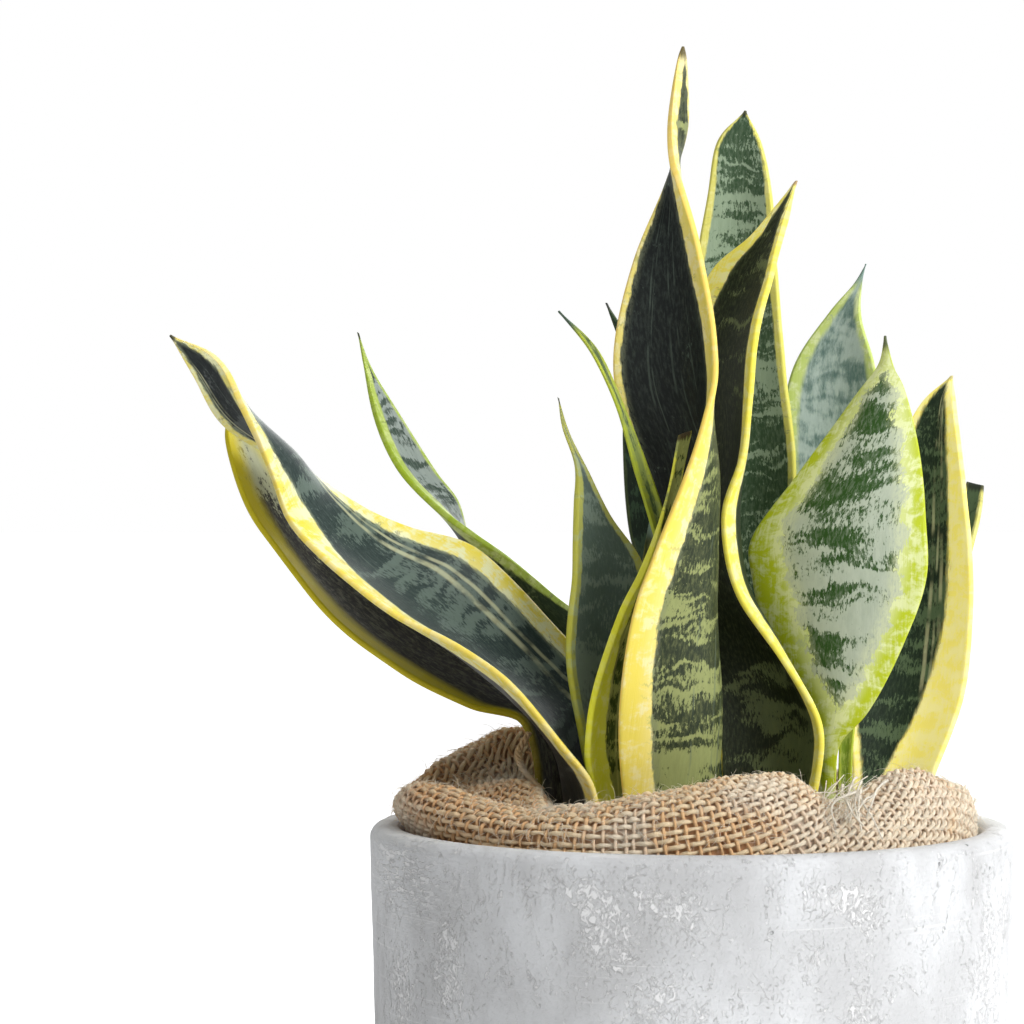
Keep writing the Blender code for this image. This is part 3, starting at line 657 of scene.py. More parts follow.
class Shade:
    """Builds a node tree in few words. Values may be numbers, colours or other nodes' sockets."""

    def __init__(self, name):
        self.material = bpy.data.materials.new(name)
        self.material.use_nodes = True
        self.nodes = self.material.node_tree.nodes
        self.links = self.material.node_tree.links
        self.shader = self.nodes["Principled BSDF"]

    def put(self, socket, value):
        if isinstance(value, bpy.types.NodeSocket):
            self.links.new(value, socket)
        elif hasattr(value, "__len__") and len(value) == 3 and len(socket.default_value) == 4:
            socket.default_value = (*value, 1)
        else:
            socket.default_value = value

    def node(self, kind, settings=(), **inputs):
        made = self.nodes.new("ShaderNode" + kind)
        for key, value in dict(settings).items():
            setattr(made, key, value)
        for key, value in inputs.items():
            self.put(made.inputs[key.replace("_", " ")], value)
        return made

    def math(self, operation, *values):
        made = self.node("Math", {"operation": operation})
        for socket, value in zip(made.inputs, values):
            self.put(socket, value)
        return made.outputs[0]

    def step(self, value, low, high):
        """0 up to low and 1 from high, smooth between them."""
        made = self.node("MapRange", {"interpolation_type": "SMOOTHSTEP"})
        for key, number in (("Value", value), ("From Min", low), ("From Max", high)):
            self.put(made.inputs[key], number)
        return made.outputs["Result"]

    def mix(self, factor, first, second, blend="MIX"):
        made = self.node("Mix", {"data_type": "RGBA", "blend_type": blend})
        self.put(made.inputs[0], factor)
        self.put(made.inputs[6], first)
        self.put(made.inputs[7], second)
        return made.outputs[2]

    def rest(self, value):
        return self.math("SUBTRACT", 1, value)

    def tinge(self, base, where, amount, colour):
        """The base colour, with this amount of another laid on where it says."""
        return self.mix(self.math("MULTIPLY", where, amount), base, colour)

    def attribute(self, name):
        return self.node("Attribute", {"attribute_name": name})

    def scaled(self, vector, x, y, z=1.0, shift=(0, 0, 0)):
        made = self.node("Mapping", Vector=vector, Location=shift, Scale=(x, y, z))
        return made.outputs[0]

    def noise(self, vector, scale, detail=2.0, roughness=0.5, distortion=0.0):
        made = self.node(
            "TexNoise", Vector=vector, Scale=scale, Detail=detail, Roughness=roughness, Distortion=distortion
        )
        return made.outputs[0]

    def bump(self, height, distance, strength=1.0, normal=None):
        made = self.node("Bump", Height=height, Distance=distance, Strength=strength)
        if normal:
            self.put(made.inputs["Normal"], normal)
        return made.outputs[0]

    def finish(self, colour, roughness, normal=None, **constants):
        self.put(self.shader.inputs["Base Color"], colour)
        self.put(self.shader.inputs["Roughness"], roughness)
        if normal:
            self.put(self.shader.inputs["Normal"], normal)
        for key, value in constants.items():
            self.shader.inputs[key.replace("_", " ")].default_value = value
        return self.material


BROAD_STREAK = 0.018


def leaf_finish(name, looks, long, seed):
    """Waxy variegated skin. The leaf's own UV map runs in centimetres across and along it."""
    s = Shade("skin_" + name)
    uv = s.node("UVMap", {"uv_map": "leaf"}).outputs[0]
    flat = s.node("SeparateXYZ", Vector=s.scaled(uv, 10, 10)).outputs
    across, along = flat[0], flat[1]
    grain = s.node("CombineXYZ", X=across, Y=along, Z=seed).outputs[0]
    where = s.node("SeparateXYZ", Vector=s.attribute("leaf_place").outputs["Vector"]).outputs
    side, inside, edge = where[0], where[1], where[2]
    under = s.attribute("underside").outputs["Fac"]
    tone = s.attribute("tone").outputs["Fac"]
    soft = looks.get("soft", 1.0)

    # Fine columns shift the cross bands up and down, which makes their jagged edges.
    columns = s.math("SUBTRACT", s.noise(s.scaled(grain, 1.9, 0.13), 1, 3, 0.62), 0.5)
    swell = s.math("SUBTRACT", s.noise(s.scaled(grain, 0.12, 0.1), 1, 1), 0.5)
    jagged = 0.85 * looks["bands"] / soft
    lift = s.math("MULTIPLY_ADD", columns, jagged, s.math("MULTIPLY_ADD", swell, 9, along))
    bands = s.node("CombineXYZ", X=s.math("MULTIPLY", across, 0.05), Y=lift, Z=seed + 3).outputs[0]
    band = s.noise(s.scaled(bands, 1, 1.0 / looks["bands"]), 1, 1.8, 0.6)
    fine = s.noise(s.scaled(grain, 1.7 / soft, 0.62 / soft), 1, 5, 0.7)
    pattern = s.math("MULTIPLY_ADD", s.math("SUBTRACT", fine, 0.5), 0.75, band)
    pattern = s.math("MULTIPLY_ADD", tone, 0.5, pattern)
    faint = s.noise(s.scaled(grain, 0.8, 0.2), 1, 4, 0.7)
    misty = s.step(s.noise(s.scaled(grain, 1.6, 0.5, 1, (3, 1, 0)), 1, 5, 0.72), 0.42, 0.68)
    faces = []
    for dark, pale, amount in (looks["inner"], looks["outer"]):
        middle = 0.5 - (amount - 0.5) * 0.34
        pale_here = s.step(pattern, middle - 0.04 * soft, middle + 0.05 * soft)
        deep = s.tinge(dark, misty, 0.22, pale)
        light = s.tinge(pale, faint, 0.42, dark)
        faces.append(s.mix(pale_here, deep, light))
    blade = s.mix(under, *faces)

    # Streaks along it, and the halo inside its pale edges, which on some leaves is a painted grey sheen.
    for centre, width in looks.get("streaks", ()):
        wave = s.noise(s.scaled(grain, 0.0, 0.05, 1, (centre * 40, 0, 0)), 1, 2)
        off = s.math("ABSOLUTE", s.math("SUBTRACT", s.math("MULTIPLY_ADD", wave, 0.12, side), centre + 0.06))
        line = s.rest(s.step(off, width * 0.5, width * 1.6))
        patchy = s.step(s.noise(s.scaled(grain, 0.1, 0.1, 1, (7, 3 + centre * 9, 0)), 1, 4), 0.38, 0.6)
        line = s.math("MULTIPLY", s.math("MULTIPLY", line, patchy), 0.42)
        blade = s.mix(line, blade, looks["blotch"] if width > BROAD_STREAK else looks["inner"][1])
    if "halo" in looks:
        tint, reach, most = looks["halo"]
        near = s.rest(s.step(inside, 0.0, reach))
        near = s.math("MULTIPLY", near, s.step(fine, 0.34, 0.56))
        blade = s.tinge(blade, near, most, tint)

    # The pale edges: blotches, green flecks and the line along the rim, which is partly the edge's own colour
    # and partly a painted highlight.
    cloudy = s.noise(s.scaled(grain, 0.26, 0.3), 1, 5, 0.65, 0.4)
    more = looks.get("blotches", 0.5)
    patches = s.step(s.math("MULTIPLY_ADD", columns, 0.3, cloudy), 0.60 - more * 0.3, 0.80 - more * 0.3)
    inward = s.step(inside, -4.0, -0.3)
    cream = looks.get("cream", 0.35)
    blotchy = s.math("MINIMUM", 1, s.math("MULTIPLY_ADD", inward, cream, s.math("MULTIPLY", patches, 0.8)))
    margin = s.mix(blotchy, looks["margin"], looks["blotch"])
    flecks = s.noise(s.scaled(bands, 2.0, 0.5, 1, (5, 0, 0)), 1, 5, 0.75)
    green = s.step(s.math("MULTIPLY_ADD", inward, 0.10, flecks), 0.66, 0.74)
    margin = s.tinge(margin, green, 0.5, looks["outer"][1])
    rim_line_and_highlight = s.rest(s.step(edge, 0.06, 0.4))
    margin = s.tinge(margin, rim_line_and_highlight, 0.55, looks.get("rim", looks["margin"]))

    # The border between the two, and the dry tip.
    fray = s.noise(s.scaled(grain, 1.2, 0.14, 1, (11, 5, 0)), 1, 3, 0.6)
    jag = looks.get("jag", 1.3)
    border = s.math("MULTIPLY_ADD", s.math("SUBTRACT", fray, 0.5), 1.3, inside)
    border = s.math("MULTIPLY_ADD", s.math("SUBTRACT", 0.5, pattern), (1.3 - jag) * 1.1, border)
    blend = looks.get("blend", 0.25 * soft)
    body = s.mix(s.step(border, -blend, blend), margin, blade)
    dry, dry_colour = looks.get("tip", (2.5, screen(40, 46, 40)))
    ended = s.step(s.math("MULTIPLY_ADD", columns, 2, along), long - dry, long - dry * 0.4)
    body = s.tinge(body, ended, 0.9, dry_colour)

    # Fine fibres and pores, and a painted glow on the pale edges that stands in for light shining through them.
    fibres = s.noise(s.scaled(grain, 3.2, 0.09), 1, 3, 0.6)
    pores = s.noise(s.scaled(grain, 6, 5), 1, 2)
    relief = s.math("MULTIPLY_ADD", pores, 0.35, fibres)
    rough = s.math("MULTIPLY_ADD", fine, 0.2, 0.36)
    if "glow" in looks:
        pale_part = s.rest(s.step(border, -blend, blend))
        s.put(s.shader.inputs["Emission Color"], looks["margin"])
        s.put(s.shader.inputs["Emission Strength"], s.math("MULTIPLY", pale_part, looks["glow"]))
    return s.finish(
        body, rough, s.bump(relief, 0.00015, 0.45), Coat_Weight=looks.get("coat", 0.03), Coat_Roughness=0.25,
        Specular_IOR_Level=0.22,
    )


def concrete_finish():
    """Cast concrete with lime bloom in flakes and veins, fine scratches, stains and pinholes."""
    pot = look().pot
    s = Shade("cast_concrete")
    at = s.node("TexCoord").outputs["Object"]
    bloom = s.attribute("bloom").outputs["Fac"]
    crackle = s.attribute("crackle").outputs["Fac"]
    cloud = s.noise(s.scaled(at, 26, 26, 17), 1, 6, 0.62)
    fine = s.noise(at, 900, 4, 0.7)
    base = s.mix(s.step(cloud, 0.36, 0.64), screen(204, 205, 206), pot.face)
    stain = s.step(s.noise(s.scaled(at, 60, 60, 24, (3, 3, 0)), 1, 6, 0.66), 0.48, 0.7)
    base = s.tinge(base, stain, 0.45, screen(190, 190, 190))
    base = s.tinge(base, fine, 0.16, screen(176, 177, 180))

    # Lime: flakes and dust that gather in the blooms and along winding veins.
    veins = s.noise(s.scaled(at, 62, 62, 26, (0.3, 0.1, 0)), 1, 4, 0.6, 1.2)
    stream = s.math("ABSOLUTE", s.math("MULTIPLY_ADD", veins, 2, -1))
    stream = s.rest(s.step(stream, 0.01, 0.11))
    where = s.math("MAXIMUM", s.math("MULTIPLY", stream, 0.62), s.step(bloom, 0.15, 0.75))
    flakes = s.noise(s.scaled(at, 520, 520, 400, (1, 0, 2)), 1, 7, 0.78, 1.2)
    low = s.math("MULTIPLY_ADD", where, -0.17, 0.665)
    chalk = s.step(s.math("SUBTRACT", flakes, low), -0.02, 0.04)
    specks = s.noise(s.scaled(at, 1300, 1300, 900, (2, 5, 1)), 1, 4, 0.7, 0.5)
    dust = s.step(s.math("MULTIPLY_ADD", where, 0.1, specks), 0.6, 0.67)
    chalk = s.math("MAXIMUM", chalk, s.math("MULTIPLY", dust, 0.5))
    base = s.tinge(base, chalk, 0.7, pot.chalk)
    base = s.tinge(base, s.step(bloom, 0.2, 1.1), 0.25, pot.chalk)

    # Scratches that run round it, pinholes and a crazed patch.
    scratch = s.noise(s.scaled(at, 26, 26, 2100, (0, 0, 0.4)), 1, 2, 0.4, 0.15)
    patchy = s.step(s.noise(s.scaled(at, 18, 18, 70, (4, 4, 4)), 1, 2), 0.52, 0.62)
    scratch = s.math("MULTIPLY", s.step(scratch, 0.62, 0.7), patchy)
    base = s.tinge(base, scratch, 0.3, pot.chalk)
    pits = s.node("TexVoronoi", Vector=at, Scale=260.0).outputs["Distance"]
    rare = s.step(s.noise(s.scaled(at, 46, 46, 30, (9, 1, 5)), 1, 1), 0.6, 0.66)
    hole = s.math("MULTIPLY", s.rest(s.step(pits, 0.07, 0.13)), rare)
    # Pinholes are coloured darker: painted shade inside the pits.
    base = s.tinge(base, hole, 0.6, screen(120, 122, 126))
    crazed = s.noise(s.scaled(at, 260, 260, 900), 1, 5, 0.66, 1.0)
    crazed = s.math("MULTIPLY", s.step(crazed, 0.5, 0.56), crackle)
    base = s.tinge(base, crazed, 0.8, pot.chalk)
    height = s.math("MULTIPLY_ADD", chalk, 0.3, s.math("MULTIPLY_ADD", fine, 0.3, cloud))
    height = s.math("MULTIPLY_ADD", crazed, 0.4, height)
    height = s.math("MULTIPLY_ADD", hole, -1.2, height)
    return s.finish(base, 0.88, s.bump(height, 0.0005, 0.9), Specular_IOR_Level=0.2)


def soil_finish():
    s = Shade("potting_soil")
    at = s.node("TexCoord").outputs["Object"]
    crumbs = s.noise(at, 700, 5, 0.7)
    earth = s.mix(s.step(crumbs, 0.35, 0.7), screen(30, 22, 17), screen(74, 56, 42))
    return s.finish(earth, 0.95, s.bump(crumbs, 0.0006), Specular_IOR_Level=0.2)


def jute_finish(name, tint, darker):
    """Jute threads: fibres, pale and brown lengths, with painted shade on the left and painted light towards the
    right.
    """
    s = Shade(name)
    at = s.node("TexCoord").outputs["Object"]
    hue = s.noise(at, 120, 3, 0.6)
    fibre = s.noise(at, 3000, 4, 0.75)
    warm = s.mix(0.16, tint, darker)
    body = s.mix(s.step(hue, 0.3, 0.6), warm, tint)
    body = s.tinge(body, s.step(fibre, 0.42, 0.72), 0.14, darker)
    across = s.node("SeparateXYZ", Vector=at).outputs[0]
    # Painted shade: the left side is darkened, as if turned away from the light.
    painted_left_shade = s.rest(s.step(across, -0.075, -0.025))
    body = s.tinge(body, painted_left_shade, 0.35, darker)
    # Painted light: more pale patches towards the right, where the light comes from. The pale patches elsewhere
    # are the jute's own.
    painted_right_light = s.step(across, -0.01, 0.060)
    pale = s.step(s.math("MULTIPLY_ADD", painted_right_light, 0.16, s.noise(at, 46, 2)), 0.5, 0.66)
    body = s.tinge(body, pale, 0.5, screen(255, 249, 236))
    return s.finish(body, 0.9, s.bump(fibre, 0.0004, 1.0), Specular_IOR_Level=0.15)


# ---- Pot -----------------------------------------------------------------------------------------


POT_SIDES = 360
POT_RINGS = 92
POT_FLOOR = 0.010
FOOT_ROUNDING = 0.0015
QUARTER_TURN = np.radians(np.linspace(0, 90, 6))


def pot_profile(pot):
    """Radii and heights, from the foot up the outside, over the rim and down to the floor inside."""
    foot = POT_RADIUS - pot.foot_inset
    inner = POT_RADIUS - pot.wall
    lip = pot.rounding
    profile = []
    for angle in QUARTER_TURN[1:]:
        profile.append((foot - FOOT_ROUNDING * (1 - np.sin(angle)), FOOT_ROUNDING * (1 - np.cos(angle))))
    for k in range(1, POT_RINGS + 1):
        z = FOOT_ROUNDING + (RIM - lip - FOOT_ROUNDING) * k / POT_RINGS
        profile.append((foot + pot.foot_inset * z / RIM, z))
    for angle in QUARTER_TURN[1:]:
        profile.append((POT_RADIUS - lip * (1 - np.cos(angle)), RIM - lip * (1 - np.sin(angle))))
    for angle in QUARTER_TURN[:-1]:
        profile.append((inner + lip * (1 - np.sin(angle)), RIM - lip * (1 - np.cos(angle))))
    narrow = inner - pot.foot_inset
    profile += [(inner, RIM - lip - 0.004), (inner, RIM - lip - 0.010)]
    profile += [(narrow, POT_FLOOR + 0.002), (narrow - 0.004, POT_FLOOR)]
    return profile


class SNAKEPLANT_OT_pot(bpy.types.Operator):
    """Model the cast concrete pot."""

    bl_idname = "snakeplant.pot"
    bl_label = "Concrete pot"

    def execute(self, context):
        pot = look().pot
        foot = POT_RADIUS - pot.foot_inset
        start_clean()
        bpy.ops.mesh.primitive_circle_add(
            vertices=POT_SIDES, radius=foot, fill_type="NGON", location=(0, 0, 0)
        )
        piece = context.object
        edit_all()
        ring = foot - FOOT_ROUNDING
        height = 0.0
        bpy.ops.transform.resize(value=(ring / foot, ring / foot, 1))
        for radius, z in pot_profile(pot):
            bpy.ops.mesh.extrude_region_move(TRANSFORM_OT_translate={"value": (0, 0, z - height)})
            bpy.ops.transform.resize(value=(radius / ring, radius / ring, 1))
            ring, height = radius, z
        turn_outwards()
        self.mark_lime(piece)
        self.roughen(piece, pot)
        piece.data.shade_smooth()
        settle(piece, "cast_concrete_pot", "concrete", concrete_finish(), "concrete_pot")
        bpy.ops.object.shade_smooth_by_angle(angle=math.radians(50))
        return {"FINISHED"}

    def roughen(self, piece, pot):
        """The cast face's slight waves and dents, with none inside or at the foot."""
        points = points_of(piece)
        out = np.column_stack([points[:, :2], np.zeros(len(points))])
        outside = np.linalg.norm(out, axis=1) > 0.9 * (POT_RADIUS - pot.wall)
        above_foot = np.clip(points[:, 2] / 0.004, 0, 1)
        sway = wander(points, 26, 3) + 0.5 * wander(points, 90, 8) + 0.35 * wander(points, 300, 5)
        dents = np.clip(wander(points, 240, 21) - 0.42, 0, 1) * 3.0
        move = (sway * 0.5 - dents) * pot.roughness * above_foot * outside
        set_points(piece, points + unit(out) * move[:, None])

    def mark_lime(self, piece):
        """Where the lime's blooms and its crazed patch lie."""
        points = points_of(piece)
        turn = np.degrees(np.arctan2(points[:, 1], points[:, 0])) % 360
        height = points[:, 2] / MM
        bloom = 0.2 + 0.2 * wander(points, 34, 12) + 0.34 * wander(points, 110, 14)
        for angle, middle, wide, tall in BLOOMS:
            bloom += 0.42 * np.exp(-((turn - angle) / wide) ** 2 - ((height - middle) / tall) ** 2)
        mark(piece.data, "bloom", bloom)
        angle, middle, wide, tall = CRAZED
        mark(piece.data, "crackle", np.exp(-((turn - angle) / wide) ** 2 - ((height - middle) / tall) ** 2))


# ---- Soil ----------------------------------------------------------------------------------------


SOIL_DEPTH = 0.012
SOIL_INSETS = 26
CRUMBS = 900


class SNAKEPLANT_OT_soil(bpy.types.Operator):
    """Model the crumbly soil."""

    bl_idname = "snakeplant.soil"
    bl_label = "Potting soil"

    def execute(self, context):
        radius = SOIL_RADIUS - 0.0008
        self.bed(context, radius)
        self.crumbs(context, radius)
        return {"FINISHED"}

    def bed(self, context, radius):
        """A flat bed, its top inset ring by ring and made lumpy."""
        start_clean()
        bpy.ops.mesh.primitive_cylinder_add(
            vertices=96, radius=radius, depth=SOIL_DEPTH, location=(0, 0, SOIL_TOP - SOIL_DEPTH / 2 - 0.0015)
        )
        piece = context.object
        bpy.ops.object.transform_apply(location=True)
        bpy.ops.object.mode_set(mode="EDIT")
        bpy.ops.mesh.select_all(action="DESELECT")
        bpy.ops.object.mode_set(mode="OBJECT")
        for face in piece.data.polygons:
            face.select = face.normal.z > 0.9
        bpy.ops.object.mode_set(mode="EDIT")
        for _ in range(SOIL_INSETS):
            bpy.ops.mesh.inset(thickness=radius / (SOIL_INSETS + 2), depth=0)
        bpy.ops.mesh.poke()
        bpy.ops.object.mode_set(mode="OBJECT")
        points = points_of(piece)
        top = points[:, 2] > SOIL_TOP - 0.004
        points[top, 2] += wander(points[top], 160, 4) * 0.0013 + wander(points[top], 520, 9) * 0.0007
        set_points(piece, points)
        piece.data.shade_smooth()
        settle(piece, "potting_soil", "soil", soil_finish(), "soil")

    def crumbs(self, context, radius):
        """Small crumbs lying about on the bed, each a dented ball."""
        rng = np.random.default_rng(5)
        start_clean()
        bpy.ops.mesh.primitive_ico_sphere_add(subdivisions=1, radius=1)
        ball = context.object
        base = points_of(ball)
        faces = [tuple(face.vertices) for face in ball.data.polygons]
        bpy.data.objects.remove(ball)
        corners, sides = [], []
        for k in range(CRUMBS):
            reach = radius * 0.97 * math.sqrt(rng.random())
            angle = rng.random() * 2 * math.pi
            size = rng.uniform(0.0005, 0.0017)
            lump = base * size * rng.uniform(0.6, 1.2, 3) * (1 + 0.25 * rng.standard_normal((len(base), 1)))
            height = SOIL_TOP - 0.0012 + rng.random() * 0.001
            corners.append(lump + (reach * math.cos(angle), reach * math.sin(angle), height))
            sides += [tuple(v + k * len(base) for v in face) for face in faces]
        mesh = bpy.data.meshes.new("soil_crumbs")
        mesh.from_pydata(np.concatenate(corners).tolist(), [], sides)
        mesh.shade_smooth()
        crumbs = add_object("soil_crumbs", mesh)
        settle(crumbs, "soil_crumbs", "soil", bpy.data.materials["potting_soil"])


# ---- Leaves --------------------------------------------------------------------------------------

FOLD_SHARPNESS = 1.7
SLIM_LEAF = 0.007
LEAF_TIP = 0.0005
LEAF_COLUMNS = 26
LEAST_ROWS = 24
EDGE_CROWDING = 0.38
RIPPLE_LENGTH = 0.011


def leaf_sheet(rows, seed):
    """The leaf's middle surface: its points, their places across from -1 to 1, the leaf's flat width and the
    distance along it at each row, and its thickness at each point."""
    leaf = look().leaf
    table = np.array(rows, float)
    table[:, [2, 5]] += SOIL_TOP / MM
    rough = through(table, 60)
    middle = (rough[:, :3] + rough[:, 3:6]) / 2
    long = np.linalg.norm(np.diff(middle, axis=0), axis=1).sum() * MM
    curve = through(table, max(LEAST_ROWS, round(long / leaf.spacing)))
    fold = curve[:, 6]
    left, right = curve[:, :3] * MM, curve[:, 3:6] * MM
    middle, chord = (left + right) / 2, right - left
    width = np.linalg.norm(chord, axis=1)
    across = unit(chord)
    if width[-1] < LEAF_TIP:
        across[-1] = across[-2]
        width[-1] = LEAF_TIP
    along = unit(np.gradient(middle, axis=0))
    bulge = unit(np.cross(along, across))
    even = np.linspace(-1, 1, LEAF_COLUMNS + 1)
    place = (1 - EDGE_CROWDING) * even + EDGE_CROWDING * np.sin(even * math.pi / 2)
    fine = np.linspace(-1, 1, 129)
    slope = -np.radians(fold)[:, None] * np.tanh(FOLD_SHARPNESS * fine) / np.tanh(FOLD_SHARPNESS)
    centre = (slope[:, 1:] + slope[:, :-1]) / 2
    start = np.zeros((len(slope), 1))
    x = np.concatenate([start, np.cumsum(np.cos(centre), axis=1)], axis=1)
    y = np.concatenate([start, np.cumsum(np.sin(centre), axis=1)], axis=1)
    arc = (len(fine) - 1) / x[:, -1:]
    y, x = y / x[:, -1:], x / x[:, -1:] - 0.5

    def at_places(values):
        return np.array([np.interp(place, fine, row) for row in values])

    x, y, slope = at_places(x), at_places(y), at_places(slope)
    points = middle[:, None] + (x * width[:, None])[..., None] * across[:, None]
    points = points + (y * width[:, None])[..., None] * bulge[:, None]
    facing = np.sin(slope)[..., None] * across[:, None] - np.cos(slope)[..., None] * bulge[:, None]
    travelled = np.concatenate([[0], np.cumsum(np.linalg.norm(np.diff(middle, axis=0), axis=1))])
    taper = np.clip(width / SLIM_LEAF, 0, 1)
    for side in (-1, 1):
        row_places = np.column_stack([travelled / RIPPLE_LENGTH, travelled * 0, travelled * 0 + side])
        waves = wander(row_places, 1, seed)
        reach = np.clip(place * side, 0, 1) ** 3
        points += facing * (waves * taper * leaf.ripple)[:, None, None] * reach[None, :, None]
    body = leaf.margin + (leaf.midrib - leaf.margin) * (1 - place**2)
    slim = np.clip(width / SLIM_LEAF, LEAF_TIP / leaf.margin, 1)
    return points, place, width * arc[:, 0], travelled, slim[:, None] * body


def build_leaf(name, rows, seed):
    """One leaf, from a grid laid on its middle surface and thickened."""
    points, place, width, travelled, thick = leaf_sheet(rows, seed)
    stations = len(points) - 1
    start_clean()
    bpy.ops.mesh.primitive_grid_add(x_subdivisions=LEAF_COLUMNS, y_subdivisions=stations, size=2)
    piece = bpy.context.object
    grid = points_of(piece)
    column = np.rint((grid[:, 0] + 1) / 2 * LEAF_COLUMNS).astype(int)
    row = np.rint((grid[:, 1] + 1) / 2 * stations).astype(int)
    set_points(piece, points[row, column])
    mesh = piece.data
    share_along = travelled / travelled[-1]
    left, right = (np.interp(share_along, *np.array(side, float).T) for side in MARGINS[name])
    half = width[:, None] / 2 / MM
    from_left = (place[None] + 1) * half
    from_right = (1 - place[None]) * half
    inside = np.minimum(from_left - left[:, None], from_right - right[:, None])
    edge = np.minimum(from_left, from_right)
    spread = np.broadcast_to(place, inside.shape)
    mark(mesh, "leaf_place", np.stack([spread, inside, edge], axis=-1)[row, column], "FLOAT_VECTOR")
    tones = np.array(TONES.get(name, ((0, 0, 0, 0), (1, 0, 0, 0))), float)
    tones = [np.interp(share_along, tones[:, 0], tones[:, k]) for k in (1, 2, 3)]
    tone = np.array([np.interp(place, (-1, 0, 1), row_tones) for row_tones in zip(*tones)])
    mark(mesh, "tone", tone[row, column])
    uv = mesh.uv_layers[0]
    uv.name = "leaf"
    corner = np.empty(len(mesh.loops), int)
    mesh.loops.foreach_get("vertex_index", corner)
    flat = np.stack([place[None] * half, np.broadcast_to(travelled[:, None] / MM, inside.shape)], axis=-1)
    uv.data.foreach_set("uv", (flat[row, column][corner] / 10).ravel())
    group = piece.vertex_groups.new(name="thickness")
    full = look().leaf.midrib
    for vertex, weight in enumerate(thick[row, column] / full):
        group.add([vertex], weight, "REPLACE")
    shell = piece.modifiers.new("Thickness", "SOLIDIFY")
    shell.thickness = full
    shell.offset = 0
    shell.vertex_group = "thickness"
    shell.material_offset = 1
    mesh.materials.append(None)
    mesh.materials.append(None)
    apply_modifiers(piece)
    mesh = piece.data
    marks = np.empty(len(mesh.polygons), np.int32)
    mesh.polygons.foreach_get("material_index", marks)
    mark(mesh, "underside", marks, domain="FACE")
    mesh.polygons.foreach_set("material_index", np.zeros(len(marks), np.int32))
    smooth = piece.modifiers.new("Rounding", "SUBSURF")
    smooth.levels = smooth.render_levels = 1
    apply_modifiers(piece)
    piece.data.shade_smooth()
    finish = leaf_finish(name, LOOKS[name], travelled[-1] / MM, seed * 13.7)
    slot = "leaf_light" if name == "broad_front_leaf" else "leaf_dark"
    return settle(piece, name + "_skin", slot, finish, name)


class SNAKEPLANT_OT_leaves(bpy.types.Operator):
    """Model the leaves."""

    bl_idname = "snakeplant.leaves"
    bl_label = "Leaves"

    def execute(self, context):
        for seed, (name, rows) in enumerate(LEAVES.items(), 1):
            build_leaf(name, rows, seed)
        return {"FINISHED"}


# ---- Hessian -------------------------------------------------------------------------------------

CLOTH_UPRIGHT = 0.45
CLOTH_SHOULDER = 0.72
CLOTH_WALL = POT_RADIUS - 0.0083
CLOTH_START = math.radians(95)
MEAN_REACH = 66.85
WEFT_SIZE, WARP_SIZE = 1.12, 0.82
STEPS_PER_PITCH = 2.7
SHORTEST_RUN = 8
FRAY_TOP = np.array((0.0322, -0.0540, 0.1526))
FRAY_FOOT = np.array((0.0290, -0.0596, 0.1458))
STRAND_PATH = (
    (-37.8, -9, 161.5),
    (-40.2, -11, 157),
    (-39.4, -14, 154),
    (-37.8, -17, 152),
    (-35.0, -20, 149.4),
)


